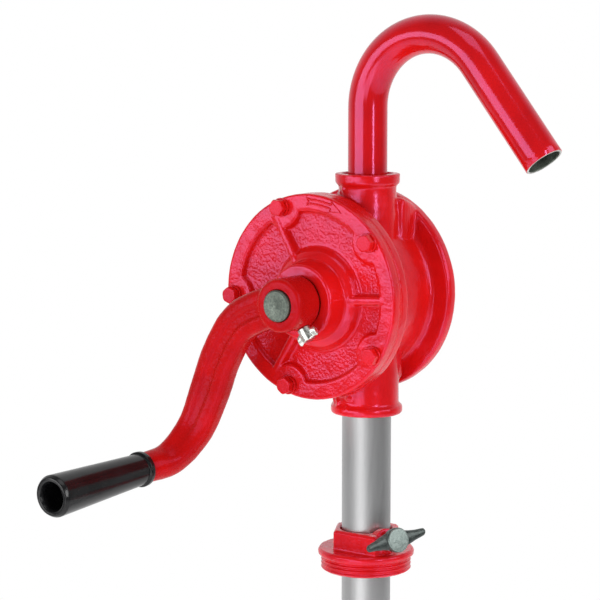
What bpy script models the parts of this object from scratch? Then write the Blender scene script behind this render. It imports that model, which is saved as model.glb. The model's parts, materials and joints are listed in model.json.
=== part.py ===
"""Rotary hand pump for drums: cast vane pump on a suction tube, held by a screwed bung adaptor.

Units in the drawing helpers are millimetres, and every object is placed in metres.
+Z is up along the suction tube, -Y is the crank side and +X is the way the spout points.
The origin is on the tube's axis, at the underside of the bung adaptor's rim.
"""

import math

import bmesh
import bpy
from mathutils import Matrix, Vector

MM = 0.001
GAP = 0.3

# Facets round a circle, by how large and how plain the piece is
WIDE_FACETS = 40
FACETS = 24
SMALL_FACETS = 16
HOLE_FACETS = 12
X_AXIS = Vector((1, 0, 0))
Y_AXIS = Vector((0, 1, 0))
Z_AXIS = Vector((0, 0, 1))

# Pump casing: the bore is set to one side of the ports.
PUMP_X = -20.0
PUMP_Z = 172.8
FLANGE_R = 66.8
REAR_FLANGE_R = 68.0
BARREL_R = 53.0
BORE_R = 46.5
FLANGE_FRONT_Y = -28.9
FLANGE_BACK_Y = -21.0
REAR_FRONT_Y = 24.0
REAR_Y = 33.0
CHAMBER_BACK_Y = 23.0

# Ports
NECK_TOP_R = 18.7
NECK_TOP_RIM_R = 20.5
NECK_TOP_Z = PUMP_Z + 77.8
NECK_LOW_R = 21.1
NECK_LOW_RIM_R = 23.4
NECK_LOW_Z = PUMP_Z - 78.4
RIM_TALL = 6.0
THROAT_R = 11.0

# Cover
COVER_BACK_Y = -30.0
COVER_RIM_Y = -37.4
PANEL_Y = -33.4
PANEL_R = 55.0
BOLT_CIRCLE_R = 60.9
BOLT_TURN_DEG = 2.9
BOLT_COUNT = 5
LOBE_R = 13.6
BOSS_BASE_R = 32.6
BOSS_STEP_R = 29.4
BOSS_STEP_Y = -39.6
BOSS_R = 26.0
BOSS_NOSE_R = 23.9
BOSS_NOSE_Y = -53.9
STUFFING_R = 15.3
STUFFING_Y = -44.0
RIB_ANGLES = (118.0, 2.0, 241.0)
RIB_THICK = 5.0

# Shaft and rotor, eccentric in the bore
SHAFT_X = PUMP_X + 5.4
SHAFT_Z = PUMP_Z - 0.8
SHAFT_R = 10.0
SHAFT_FRONT_Y = -79.4
SHAFT_BACK_Y = 28.6
ROTOR_R = 40.4
ROTOR_FRONT_Y = -28.5
ROTOR_BACK_Y = 22.6
BUSH_R = 13.0
VANE_THICK = 6.0
VANE_TALL = 17.0
VANE_TIP_R = 40.1
SLOT_FLOOR_R = 14.5
KEY_SIZE = 5.0

# Crank
HUB_R = 17.0
HUB_BACK_Y = -54.7
HUB_FRONT_Y = -77.2
ARM_Y = -68.0
ARM_WIDE = 12.0
ARM_DEEP = 7.6
ARM_END_R = 9.9
GRIP_X = SHAFT_X - 88.1
GRIP_Z = SHAFT_Z - 110.5
GRIP_BACK_Y = -105.6
GRIP_LONG = 87.0
GRIP_DROOP_DEG = 2.0
GRIP_BIG_R = 13.5
GRIP_SMALL_R = 10.2
GRIP_COLLAR_R = 11.5
SPINDLE_R = 5.7

# Spout
SPOUT_R = 12.75
SPOUT_BORE_R = 10.75
SPOUT_FOOT_Z = NECK_TOP_Z - 22.0
SPOUT_BEND_Z = NECK_TOP_Z + 43.2
SPOUT_BEND_R = 47.5
SPOUT_TURN_DEG = 141.4
SPOUT_STRAIGHT = 75.5

# Suction tube, three screwed lengths
TUBE_R = 16.1
TUBE_BORE_R = 14.6
TUBE_TOP_Z = 116.8
TUBE_JOINTS_Z = (-206.0, -522.0)
TUBE_END_Z = -846.0
COUPLING_R = 19.4
COUPLING_HALF = 17.0

# Bung adaptor
THREAD_R = 29.8
THREAD_ROOT_R = 28.5
THREAD_TALL = 10.6
THREAD_TURNS = 4
BUNG_RIM_R = 31.75
BUNG_RIM_TALL = 4.0
BUNG_BORE_R = 17.0
HEX_FLATS = 41.0
HEX_TOP_Z = 17.0
CLAMP_AZIMUTH_DEG = 67.0
CLAMP_RISE_DEG = 15.0
CLAMP_Z = 6.2
CLAMP_FACE = 27.5
SEAL_Z = (-6.0, -2.4)

RED = (0.62, 0.012, 0.012)
BLACK = (0.012, 0.012, 0.013)
STEEL = (0.52, 0.53, 0.54)


def clear_scene():
    for found in list(bpy.data.objects):
        bpy.data.objects.remove(found, do_unlink=True)


def paint(name, colour, metallic, roughness):
    look = bpy.data.materials.new(name + "_look")
    look.use_nodes = True
    shader = look.node_tree.nodes["Principled BSDF"]
    shader.inputs["Base Color"].default_value = (*colour, 1.0)
    shader.inputs["Metallic"].default_value = metallic
    shader.inputs["Roughness"].default_value = roughness
    return look


def along(origin, direction, upward=Z_AXIS):
    """Frame whose local Z runs along direction, with local Y as near upward as it can be."""
    forward = Vector(direction).normalized()
    side = Vector(upward).cross(forward)
    if side.length < 1e-6:
        side = X_AXIS.copy()
    side.normalize()
    across = forward.cross(side)
    turn = Matrix((side, across, forward)).transposed().to_4x4()
    return Matrix.Translation(Vector(origin)) @ turn


def revolve(profile, frame, segments=FACETS, closed=False):
    """Solid of revolution about the frame's Z. The profile holds (radius, height) pairs.

    An open profile starts and ends on the axis, and a closed one is the section of a ring.
    """
    bm = bmesh.new()
    rings = []
    for radius, height in profile:
        if radius < 1e-9:
            rings.append([bm.verts.new(frame @ Vector((0, 0, height)))])
            continue
        ring = []
        for i in range(segments):
            angle = 2 * math.pi * i / segments
            spot = Vector((radius * math.cos(angle), radius * math.sin(angle), height))
            ring.append(bm.verts.new(frame @ spot))
        rings.append(ring)
    pairs = list(zip(rings, rings[1:]))
    if closed:
        pairs.append((rings[-1], rings[0]))
    for low, high in pairs:
        for i in range(segments):
            j = (i + 1) % segments
            if len(low) == 1 and len(high) == 1:
                continue
            if len(low) == 1:
                bm.faces.new((low[0], high[j], high[i]))
            elif len(high) == 1:
                bm.faces.new((low[i], low[j], high[0]))
            else:
                bm.faces.new((low[i], low[j], high[j], high[i]))
    bmesh.ops.recalc_face_normals(bm, faces=bm.faces)
    return bm


def ring_shape(inner, outer, low, high, frame, segments=FACETS):
    return revolve(((inner, low), (outer, low), (outer, high), (inner, high)), frame, segments, True)


def rod_shape(radius, low, high, frame, segments=FACETS):
    return revolve(((0, low), (radius, low), (radius, high), (0, high)), frame, segments)


def prism(outline, low, high, frame):
    """Straight extrusion along the frame's Z of a closed outline in its XY plane."""
    bm = bmesh.new()
    floor = [bm.verts.new(frame @ Vector((x, y, low))) for x, y in outline]
    roof = [bm.verts.new(frame @ Vector((x, y, high))) for x, y in outline]
    bm.faces.new(floor)
    bm.faces.new(roof)
    for i in range(len(outline)):
        j = (i + 1) % len(outline)
        bm.faces.new((floor[i], floor[j], roof[j], roof[i]))
    bmesh.ops.recalc_face_normals(bm, faces=bm.faces)
    return bm


def loft(stations):
    """Closed skin through rings of points, each ring given as a list of vectors."""
    bm = bmesh.new()
    rings = [[bm.verts.new(spot) for spot in ring] for ring in stations]
    for low, high in zip(rings, rings[1:]):
        for i in range(len(low)):
            j = (i + 1) % len(low)
            bm.faces.new((low[i], low[j], high[j], high[i]))
    bm.faces.new(rings[0])
    bm.faces.new(rings[-1])
    bmesh.ops.recalc_face_normals(bm, faces=bm.faces)
    return bm


def place(name, bm, look, origin=(0, 0, 0), smooth=True):
    """Object from a bmesh drawn in world millimetres, with its own origin at the given spot."""
    base = Vector(origin)
    for vert in bm.verts:
        vert.co = (vert.co - base) * MM
    mesh = bpy.data.meshes.new(name)
    bm.to_mesh(mesh)
    bm.free()
    made = bpy.data.objects.new(name, mesh)
    made.location = base * MM
    bpy.context.scene.collection.objects.link(made)
    if look is not None:
        mesh.materials.append(look)
    for polygon in mesh.polygons:
        polygon.use_smooth = smooth
    if smooth:
        mesh.set_sharp_from_angle(angle=math.radians(35))
    return made


def combine(target, bm, operation):
    """Adds to or cuts from the target with a helper that is never rendered."""
    helper = place(target.name + "_" + operation.lower(), bm, None)
    helper.hide_render = True
    helper.display_type = "WIRE"
    step = target.modifiers.new(operation.title(), "BOOLEAN")
    step.operation = operation
    step.solver = "EXACT"
    step.object = helper
    target.modifiers.new("Triangles", "TRIANGULATE")


def add(target, bm):
    combine(target, bm, "UNION")


def cut(target, bm):
    combine(target, bm, "DIFFERENCE")


def around_pump(angle_deg, radius, y=0.0):
    """Spot on a circle about the bore's axis, the angle counted from +X towards +Z."""
    angle = math.radians(angle_deg)
    return Vector((PUMP_X + radius * math.cos(angle), y, PUMP_Z + radius * math.sin(angle)))


def hexagon(flats):
    corner = flats / 2 / math.cos(math.pi / 6)
    turns = [math.radians(60 * i) for i in range(6)]
    return [(corner * math.cos(a), corner * math.sin(a)) for a in turns]


FRONTWARD = -Y_AXIS
PUMP_FRAME = along((PUMP_X, 0, PUMP_Z), Y_AXIS)
SHAFT_FRAME = along((SHAFT_X, 0, SHAFT_Z), Y_AXIS)
GRIP_SPOT = Vector((GRIP_X, GRIP_BACK_Y, GRIP_Z))
GRIP_DROOP = math.radians(GRIP_DROOP_DEG)
GRIP_WAY = Vector((0, -math.cos(GRIP_DROOP), -math.sin(GRIP_DROOP)))
GRIP_FRAME = along(GRIP_SPOT, GRIP_WAY)
TUBE_FRAME = along((0, 0, 0), Z_AXIS)
BOLT_ANGLES = [36.0 + BOLT_TURN_DEG + 360.0 / BOLT_COUNT * i for i in range(BOLT_COUNT)]


def bolt_frame(angle_deg):
    return along(around_pump(angle_deg, BOLT_CIRCLE_R), Y_AXIS)


def build_body():
    casing = revolve(
        (
            (0, FLANGE_FRONT_Y),
            (FLANGE_R, FLANGE_FRONT_Y),
            (FLANGE_R, FLANGE_BACK_Y),
            (BARREL_R + 2, FLANGE_BACK_Y),
            (BARREL_R, FLANGE_BACK_Y + 2),
            (BARREL_R, REAR_FRONT_Y - 4),
            (BARREL_R + 4, REAR_FRONT_Y),
            (REAR_FLANGE_R, REAR_FRONT_Y),
            (REAR_FLANGE_R, REAR_Y - 1.5),
            (REAR_FLANGE_R - 1.5, REAR_Y),
            (0, REAR_Y),
        ),
        PUMP_FRAME,
        WIDE_FACETS,
    )
    body = place("pump_body", casing, paint("pump_body", RED, 0.0, 0.25))
    top_rim = NECK_TOP_Z - RIM_TALL
    upper = (
        (0, PUMP_Z + 20),
        (NECK_TOP_R, PUMP_Z + 20),
        (NECK_TOP_R, top_rim),
        (NECK_TOP_RIM_R, top_rim + 1.5),
        (NECK_TOP_RIM_R, NECK_TOP_Z - 1.5),
        (NECK_TOP_RIM_R - 1.5, NECK_TOP_Z),
        (0, NECK_TOP_Z),
    )
    add(body, revolve(upper, TUBE_FRAME))
    low_rim = NECK_LOW_Z + RIM_TALL
    lower = (
        (0, NECK_LOW_Z),
        (NECK_LOW_RIM_R - 1.5, NECK_LOW_Z),
        (NECK_LOW_RIM_R, NECK_LOW_Z + 1.5),
        (NECK_LOW_RIM_R, low_rim - 1.5),
        (NECK_LOW_R, low_rim),
        (NECK_LOW_R, PUMP_Z - 20),
        (0, PUMP_Z - 20),
    )
    add(body, revolve(lower, TUBE_FRAME))
    cut(body, rod_shape(BORE_R, FLANGE_FRONT_Y - 10, CHAMBER_BACK_Y, PUMP_FRAME, WIDE_FACETS))
    cut(body, rod_shape(BUSH_R + GAP, CHAMBER_BACK_Y - 5, 29.2, SHAFT_FRAME))
    passage = (
        (0, TUBE_TOP_Z - 60),
        (TUBE_R + GAP, TUBE_TOP_Z - 60),
        (TUBE_R + GAP, TUBE_TOP_Z + GAP),
        (THROAT_R, TUBE_TOP_Z + GAP),
        (THROAT_R, PUMP_Z - 30),
        (0, PUMP_Z - 30),
    )
    cut(body, revolve(passage, TUBE_FRAME))
    seal_low = SPOUT_FOOT_Z + 9.7
    outlet = (
        (0, PUMP_Z + 30),
        (THROAT_R, PUMP_Z + 30),
        (THROAT_R, SPOUT_FOOT_Z - GAP),
        (SPOUT_R + GAP, SPOUT_FOOT_Z - GAP),
        (SPOUT_R + GAP, seal_low),
        (SPOUT_R + 2.4, seal_low),
        (SPOUT_R + 2.4, seal_low + 3.6),
        (SPOUT_R + GAP, seal_low + 3.6),
        (SPOUT_R + GAP, NECK_TOP_Z + 10),
        (0, NECK_TOP_Z + 10),
    )
    cut(body, revolve(outlet, TUBE_FRAME))
    for angle in BOLT_ANGLES:
        cut(body, rod_shape(3.2, FLANGE_FRONT_Y - 5, FLANGE_BACK_Y + 5, bolt_frame(angle), HOLE_FACETS))


def build_cover():
    disc = revolve(
        (
            (0, COVER_BACK_Y),
            (FLANGE_R, COVER_BACK_Y),
            (FLANGE_R, COVER_RIM_Y + 1.2),
            (FLANGE_R - 1.2, COVER_RIM_Y),
            (0, COVER_RIM_Y),
        ),
        PUMP_FRAME,
        WIDE_FACETS,
    )
    cover = place("front_cover", disc, paint("front_cover", RED, 0.0, 0.25))
    steps = 60
    outline = []
    for i in range(steps):
        angle = 360.0 * i / steps
        reach = PANEL_R
        for bolt in BOLT_ANGLES:
            off = math.radians(angle - bolt)
            miss = BOLT_CIRCLE_R * math.sin(off)
            if math.cos(off) > 0 and abs(miss) < LOBE_R:
                near = BOLT_CIRCLE_R * math.cos(off) - math.sqrt(LOBE_R**2 - miss**2)
                reach = min(reach, near)
        spot = around_pump(angle, reach)
        outline.append((spot.x, spot.z))
    flat = Matrix(((1, 0, 0, 0), (0, 0, 1, 0), (0, 1, 0, 0), (0, 0, 0, 1)))
    cut(cover, prism(outline, COVER_RIM_Y - 10, PANEL_Y, flat))
    boss = (
        (0, PANEL_Y + 1.5),
        (BOSS_BASE_R, PANEL_Y + 1.5),
        (BOSS_BASE_R, PANEL_Y),
        (BOSS_STEP_R, BOSS_STEP_Y),
        (BOSS_R, BOSS_STEP_Y - 0.6),
        (BOSS_NOSE_R, BOSS_NOSE_Y + 1),
        (BOSS_NOSE_R - 1, BOSS_NOSE_Y),
        (0, BOSS_NOSE_Y),
    )
    add(cover, revolve(boss, SHAFT_FRAME, 32))
    for angle in RIB_ANGLES:
        outer = around_pump(angle, PANEL_R + 3)
        centre = Vector((SHAFT_X, 0, SHAFT_Z))
        inward = centre - outer
        ramp = (
            (0, PANEL_Y + 1.0),
            (inward.length - 20, PANEL_Y + 1.0),
            (inward.length - 20, BOSS_STEP_Y + 0.4),
            (inward.length - BOSS_STEP_R, BOSS_STEP_Y + 0.4),
            (2.5, COVER_RIM_Y + 0.4),
            (0, COVER_RIM_Y + 0.4),
        )
        side = inward.normalized().cross(Y_AXIS)
        frame = Matrix((inward.normalized(), Y_AXIS, side)).transposed().to_4x4()
        frame = Matrix.Translation(outer) @ frame
        add(cover, prism(ramp, -RIB_THICK / 2, RIB_THICK / 2, frame))
    well = (
        (0, COVER_BACK_Y + 5),
        (BUSH_R + GAP, COVER_BACK_Y + 5),
        (BUSH_R + GAP, STUFFING_Y),
        (STUFFING_R, STUFFING_Y),
        (STUFFING_R, BOSS_NOSE_Y - 5),
        (0, BOSS_NOSE_Y - 5),
    )
    cut(cover, revolve(well, SHAFT_FRAME))
    for angle in BOLT_ANGLES:
        cut(cover, rod_shape(3.3, COVER_RIM_Y - 5, COVER_BACK_Y + 5, bolt_frame(angle), HOLE_FACETS))


def build_fasteners():
    gasket = ring_shape(BORE_R + 1, FLANGE_R - 0.4, -29.7, -29.2, PUMP_FRAME, WIDE_FACETS)
    sheet = place("cover_gasket", gasket, paint("cover_gasket", (0.05, 0.04, 0.03), 0.0, 0.9))
    for number, angle in enumerate(BOLT_ANGLES, 1):
        frame = bolt_frame(angle)
        cut(sheet, rod_shape(3.4, -32, -27, frame, HOLE_FACETS))
        spot = around_pump(angle, BOLT_CIRCLE_R)
        washer_y = COVER_RIM_Y - GAP
        washer = ring_shape(3.4, 5.6, washer_y - 1.4, washer_y, frame, HOLE_FACETS)
        name = f"bolt_washer_{number}"
        place(name, washer, paint(name, RED, 0.0, 0.3), (spot.x, washer_y, spot.z))
        head_y = washer_y - 1.4 - GAP
        shank = rod_shape(2.9, head_y - 1, FLANGE_BACK_Y - 0.5, frame, HOLE_FACETS)
        name = f"cover_bolt_{number}"
        bolt = place(name, shank, paint(name, RED, 0.0, 0.3), (spot.x, head_y, spot.z))
        add(bolt, prism(hexagon(10.0), head_y - 4.4, head_y, frame))


def build_shaft_seals():
    rear = ring_shape(SHAFT_R + GAP, BUSH_R, CHAMBER_BACK_Y + GAP, 28.9, SHAFT_FRAME, SMALL_FACETS)
    place("rear_bush", rear, paint("rear_bush", (0.55, 0.33, 0.1), 1.0, 0.35))
    front = ring_shape(SHAFT_R + GAP, BUSH_R, STUFFING_Y + GAP, -31.0, SHAFT_FRAME, SMALL_FACETS)
    place("front_bush", front, paint("front_bush", (0.55, 0.33, 0.1), 1.0, 0.35))
    tall = 2.9
    low = STUFFING_Y - GAP
    for number in (1, 2):
        top = low
        low = top - tall
        ring = ring_shape(SHAFT_R + GAP, STUFFING_R - GAP, low, top, SHAFT_FRAME, SMALL_FACETS)
        name = f"packing_ring_{number}"
        place(name, ring, paint(name, (0.03, 0.03, 0.03), 0.0, 0.8))
        low -= GAP
    nose = BOSS_NOSE_Y + GAP
    gland = ring_shape(SHAFT_R + GAP, STUFFING_R - GAP, nose, low, SHAFT_FRAME, SMALL_FACETS)
    place("gland_ring", gland, paint("gland_ring", (0.6, 0.42, 0.15), 1.0, 0.35))


def block(low, high):
    """Box between two corners, in world millimetres."""
    outline = ((low[0], low[1]), (high[0], low[1]), (high[0], high[1]), (low[0], high[1]))
    return prism(outline, low[2], high[2], Matrix.Identity(4))


def build_rotor():
    centre = (SHAFT_X, 0, SHAFT_Z)
    key_end = SHAFT_R + 2.6
    key_floor = key_end - KEY_SIZE
    shaft_look = paint("rotor_shaft", (0.33, 0.35, 0.32), 1.0, 0.4)
    bar = revolve(
        (
            (0, SHAFT_FRONT_Y),
            (SHAFT_R - 0.8, SHAFT_FRONT_Y),
            (SHAFT_R, SHAFT_FRONT_Y + 0.8),
            (SHAFT_R, SHAFT_BACK_Y),
            (0, SHAFT_BACK_Y),
        ),
        SHAFT_FRAME,
    )
    shaft = place("rotor_shaft", bar, shaft_look, centre)
    half_key = KEY_SIZE / 2
    low = (SHAFT_X + key_floor - GAP, -16.3, SHAFT_Z - half_key - GAP)
    high = (SHAFT_X + SHAFT_R + 3, 10.3, SHAFT_Z + half_key + GAP)
    cut(shaft, block(low, high))
    drum = ring_shape(SHAFT_R + GAP, ROTOR_R, ROTOR_FRONT_Y, ROTOR_BACK_Y, SHAFT_FRAME, WIDE_FACETS)
    rotor = place("rotor", drum, paint("rotor", (0.16, 0.16, 0.17), 1.0, 0.5), centre)
    low = (SHAFT_X + SHAFT_R - 3, ROTOR_FRONT_Y - 5, SHAFT_Z - half_key - GAP)
    high = (SHAFT_X + key_end + GAP, ROTOR_BACK_Y + 5, SHAFT_Z + half_key + GAP)
    cut(rotor, block(low, high))
    low = (SHAFT_X + key_floor, -16, SHAFT_Z - half_key)
    high = (SHAFT_X + key_end, 10, SHAFT_Z + half_key)
    place("rotor_key", block(low, high), paint("rotor_key", STEEL, 1.0, 0.35), centre, False)
    slot = VANE_THICK / 2 + GAP
    plate = VANE_THICK / 2
    for name, sign in (("upper", 1), ("lower", -1)):
        ends = sorted((SHAFT_Z + sign * SLOT_FLOOR_R, SHAFT_Z + sign * (ROTOR_R + 5)))
        low = (SHAFT_X - slot, ROTOR_FRONT_Y - 5, ends[0])
        high = (SHAFT_X + slot, ROTOR_BACK_Y + 5, ends[1])
        cut(rotor, block(low, high))
        inner = VANE_TIP_R - VANE_TALL
        outline = [
            (-plate, sign * inner),
            (plate, sign * inner),
            (plate, sign * (VANE_TIP_R - 1.5)),
            (plate - 1.5, sign * VANE_TIP_R),
            (1.5 - plate, sign * VANE_TIP_R),
            (-plate, sign * (VANE_TIP_R - 1.5)),
        ]
        flat = Matrix(((1, 0, 0, SHAFT_X), (0, 0, 1, 0), (0, 1, 0, SHAFT_Z), (0, 0, 0, 1)))
        vane = prism(outline, ROTOR_FRONT_Y + GAP, ROTOR_BACK_Y - GAP, flat)
        spot = (SHAFT_X, 0, SHAFT_Z + sign * inner)
        place(f"vane_{name}", vane, paint(f"vane_{name}", (0.05, 0.045, 0.04), 0.0, 0.5), spot, False)
        build_spring(f"vane_spring_{name}", sign, SLOT_FLOOR_R + GAP, inner - GAP)


def build_spring(name, sign, floor, top):
    wire = 0.45
    radius = 2.3
    turns = 3
    steps = 10 * turns
    low = floor + wire
    high = top - wire
    stations = []
    for i in range(steps + 1):
        angle = 2 * math.pi * turns * i / steps
        height = low + (high - low) * i / steps
        outward = Vector((math.cos(angle), math.sin(angle), 0))
        ring = []
        for k in range(5):
            turn = 2 * math.pi * k / 5
            spot = outward * (radius + wire * math.cos(turn))
            spot.z = height + wire * math.sin(turn)
            ring.append(Vector((SHAFT_X + spot.x, -3 + spot.y, SHAFT_Z + sign * spot.z)))
        stations.append(ring)
    spot = (SHAFT_X, -3, SHAFT_Z + sign * floor)
    place(name, loft(stations), paint(name, STEEL, 1.0, 0.3), spot)


def spline(knots, steps):
    """Smooth curve through the knots, sampled evenly between each pair."""
    ends = [knots[0] * 2 - knots[1], *knots, knots[-1] * 2 - knots[-2]]
    curve = []
    for a, b, c, d in zip(ends, ends[1:], ends[2:], ends[3:]):
        for i in range(steps):
            t = i / steps
            bend = (2 * a - 5 * b + 4 * c - d) * t * t + (3 * b - a - 3 * c + d) * t**3
            curve.append(0.5 * (2 * b + (c - a) * t + bend))
    curve.append(knots[-1])
    return curve


def arm_section(wide, deep, groove, roundness):
    """Cross-section of the arm: a rounded bar with a shallow channel along its front."""
    ring = []
    for i in range(20):
        angle = 2 * math.pi * (i + 0.5) / 20
        power = 2 / roundness
        x = math.copysign(abs(math.cos(angle)) ** power, math.cos(angle)) * wide
        y = math.copysign(abs(math.sin(angle)) ** power, math.sin(angle)) * deep
        if y > 0 and abs(x) < 0.3 * wide:
            y -= groove
        ring.append((x, y))
    return ring


def build_crank():
    centre = Vector((SHAFT_X, 0, SHAFT_Z))
    # The arm leaves the hub sideways, turns down, then swings forward on to the grip's axis.
    knots = [
        Vector((0, ARM_Y, 0)),
        Vector((-21, ARM_Y, -6.5)),
        Vector((-38, ARM_Y, -17)),
        Vector((-52, ARM_Y, -39)),
        Vector((-62.5, ARM_Y, -64)),
        Vector((-72, ARM_Y - 3.5, -88)),
        Vector((-82, ARM_Y - 17, -106)),
        GRIP_SPOT - GRIP_WAY * GAP - centre,
    ]
    path = spline(knots, 3)
    stations = []
    front = FRONTWARD.copy()
    for i, spot in enumerate(path):
        ahead = path[min(i + 1, len(path) - 1)] - path[max(i - 1, 0)]
        if i == len(path) - 1:
            ahead = GRIP_WAY.copy()
        ahead.normalize()
        front = (front - ahead * front.dot(ahead)).normalized()
        across = ahead.cross(front)
        t = i / (len(path) - 1)
        late = max(0.0, (t - 0.55) / 0.45)
        wide = ARM_WIDE + (ARM_END_R - ARM_WIDE) * late
        deep = ARM_DEEP + (ARM_END_R - ARM_DEEP) * late
        groove = 2.6 * min(1.0, t / 0.15) * max(0.0, 1 - max(0.0, t - 0.45) / 0.3)
        section = arm_section(wide, deep, groove, 4 - 2 * late)
        stations.append([centre + spot + across * x + front * y for x, y in section])
    arm = place("crank_arm", loft(stations), paint("crank_arm", RED, 0.0, 0.25), centre)
    hub = (
        (0, HUB_FRONT_Y),
        (HUB_R - 1.5, HUB_FRONT_Y),
        (HUB_R, HUB_FRONT_Y + 1.5),
        (HUB_R, HUB_BACK_Y),
        (0, HUB_BACK_Y),
    )
    add(arm, revolve(hub, SHAFT_FRAME))
    cut(arm, rod_shape(SHAFT_R + GAP, -90, -40, SHAFT_FRAME))
    screw_way = Vector((0.58, 0, -0.81)).normalized()
    screw_frame = along(centre + Vector((0, -64, 0)), screw_way, Y_AXIS)
    cut(arm, rod_shape(3.2, 0, 25, screw_frame, HOLE_FACETS))
    cut(arm, rod_shape(SPINDLE_R + GAP, -16, 5, GRIP_FRAME, SMALL_FACETS))
    build_wing_screw("crank_wing_screw", screw_frame, (SHAFT_R + 0.6, 18.2, 27.0), (2.9, 4.2), (8.0, 3.6), 3.0)
    pin = rod_shape(SPINDLE_R, -15.5, 50.4, GRIP_FRAME, SMALL_FACETS)
    place("grip_spindle", pin, paint("grip_spindle", STEEL, 1.0, 0.35), GRIP_SPOT)
    clip = ring_shape(SPINDLE_R + GAP, 8.0, 46.4, 47.8, GRIP_FRAME, SMALL_FACETS)
    place("grip_retainer", clip, paint("grip_retainer", STEEL, 1.0, 0.35), GRIP_SPOT)
    sleeve = (
        (SPINDLE_R + 0.6, GAP),
        (GRIP_COLLAR_R, GAP),
        (GRIP_COLLAR_R, 4.0),
        (GRIP_SMALL_R, 5.0),
        (GRIP_BIG_R, GRIP_LONG - 4),
        (GRIP_BIG_R - 1.5, GRIP_LONG - 0.8),
        (GRIP_BIG_R - 3, GRIP_LONG),
        (8.8, GRIP_LONG - 0.6),
        (8.8, 45.5),
        (SPINDLE_R + 0.6, 45.5),
    )
    grip = revolve(sleeve, GRIP_FRAME, FACETS, True)
    place("grip", grip, paint("grip", BLACK, 0.0, 0.2), GRIP_SPOT)


def build_wing_screw(name, frame, stops, radii, wing, thick):
    """Thumb screw along the frame's Z: shank to stops[1], then a hub with two wings to stops[2]."""
    tip, neck, end = stops
    shank_r, hub_r = radii
    reach, half_tall = wing
    origin = frame @ Vector((0, 0, neck))
    profile = (
        (0, tip),
        (shank_r, tip),
        (shank_r, neck),
        (hub_r, neck + 0.5),
        (hub_r, end - 1),
        (hub_r - 1, end),
        (0, end),
    )
    tint = (0.5, 0.5, 0.47) if name.startswith("crank") else (0.05, 0.055, 0.055)
    screw = place(name, revolve(profile, frame, SMALL_FACETS), paint(name, tint, 1.0, 0.4), origin)
    outline = (
        (-reach, -half_tall * 0.75),
        (-reach * 0.9, -half_tall),
        (0, -half_tall * 1.05),
        (reach * 0.9, -half_tall * 0.5),
        (reach, -half_tall * 0.2),
        (reach, half_tall * 0.75),
        (reach * 0.9, half_tall),
        (0, half_tall * 1.05),
        (-reach * 0.9, half_tall * 0.5),
        (-reach, half_tall * 0.2),
    )
    middle = (neck + 1.2 + end) / 2
    add(screw, prism(outline, middle - thick / 2, middle + thick / 2, frame))


def build_spout():
    def leg(radius):
        steps = 11
        stations = []
        spots = [(Vector((0, 0, SPOUT_FOOT_Z)), 0.0)]
        turn = math.radians(SPOUT_TURN_DEG)
        for i in range(steps + 1):
            angle = turn * i / steps
            x = SPOUT_BEND_R * (1 - math.cos(angle))
            z = SPOUT_BEND_Z + SPOUT_BEND_R * math.sin(angle)
            spots.append((Vector((x, 0, z)), angle))
        way = Vector((math.sin(turn), 0, math.cos(turn)))
        spots.append((spots[-1][0] + way * SPOUT_STRAIGHT, turn))
        for spot, angle in spots:
            side = Vector((math.cos(angle), 0, -math.sin(angle)))
            ring = []
            for k in range(FACETS):
                roll = 2 * math.pi * k / FACETS
                ring.append(spot + side * radius * math.cos(roll) + Y_AXIS * radius * math.sin(roll))
            stations.append(ring)
        return stations

    outer = leg(SPOUT_R)
    inner = leg(SPOUT_BORE_R)
    bm = bmesh.new()
    rings = [[bm.verts.new(spot) for spot in ring] for ring in outer + inner[::-1]]
    for low, high in zip(rings, rings[1:] + rings[:1]):
        for i in range(len(low)):
            j = (i + 1) % len(low)
            bm.faces.new((low[i], low[j], high[j], high[i]))
    bmesh.ops.recalc_face_normals(bm, faces=bm.faces)
    place("spout_pipe", bm, paint("spout_pipe", RED, 0.0, 0.2), (0, 0, SPOUT_FOOT_Z))
    low = SPOUT_FOOT_Z + 10.0
    ring = ring_shape(SPOUT_R + GAP, SPOUT_R + 2.1, low, low + 3.0, TUBE_FRAME, FACETS)
    place("spout_seal", ring, paint("spout_seal", BLACK, 0.0, 0.6), (0, 0, low))


def build_suction():
    ends = (TUBE_TOP_Z, *TUBE_JOINTS_Z, TUBE_END_Z)
    for name, top, low in zip(("upper", "middle", "lower"), ends, ends[1:]):
        tube = ring_shape(TUBE_BORE_R, TUBE_R, low + 0.2, top - 0.2, TUBE_FRAME)
        name = f"suction_tube_{name}"
        place(name, tube, paint(name, STEEL, 1.0, 0.3), (0, 0, top))
    for number, middle in enumerate(TUBE_JOINTS_Z, 1):
        low = middle - COUPLING_HALF
        high = middle + COUPLING_HALF
        name = f"tube_coupling_{number}"
        shape = ring_shape(TUBE_R + GAP, COUPLING_R, low, high, TUBE_FRAME)
        place(name, shape, paint(name, STEEL, 1.0, 0.4), (0, 0, middle))
    foot = TUBE_END_Z - 16
    cup = (
        (0, foot),
        (COUPLING_R - 1, foot),
        (COUPLING_R, foot + 1),
        (COUPLING_R, TUBE_END_Z + 14),
        (TUBE_R + GAP, TUBE_END_Z + 14),
        (TUBE_R + GAP, foot + 2.5),
        (0, foot + 2.5),
    )
    look = paint("foot_strainer", BLACK, 0.0, 0.5)
    strainer = place("foot_strainer", revolve(cup, TUBE_FRAME), look, (0, 0, TUBE_END_Z))
    for turn in (0, 60, 120):
        way = Vector((math.cos(math.radians(turn)), math.sin(math.radians(turn)), 0))
        frame = along((0, 0, 0), way)
        outline = ((-2.5, foot + 4.5), (2.5, foot + 4.5), (2.5, TUBE_END_Z - 2), (-2.5, TUBE_END_Z - 2))
        cut(strainer, prism(outline, -30, 30, frame))


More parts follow.
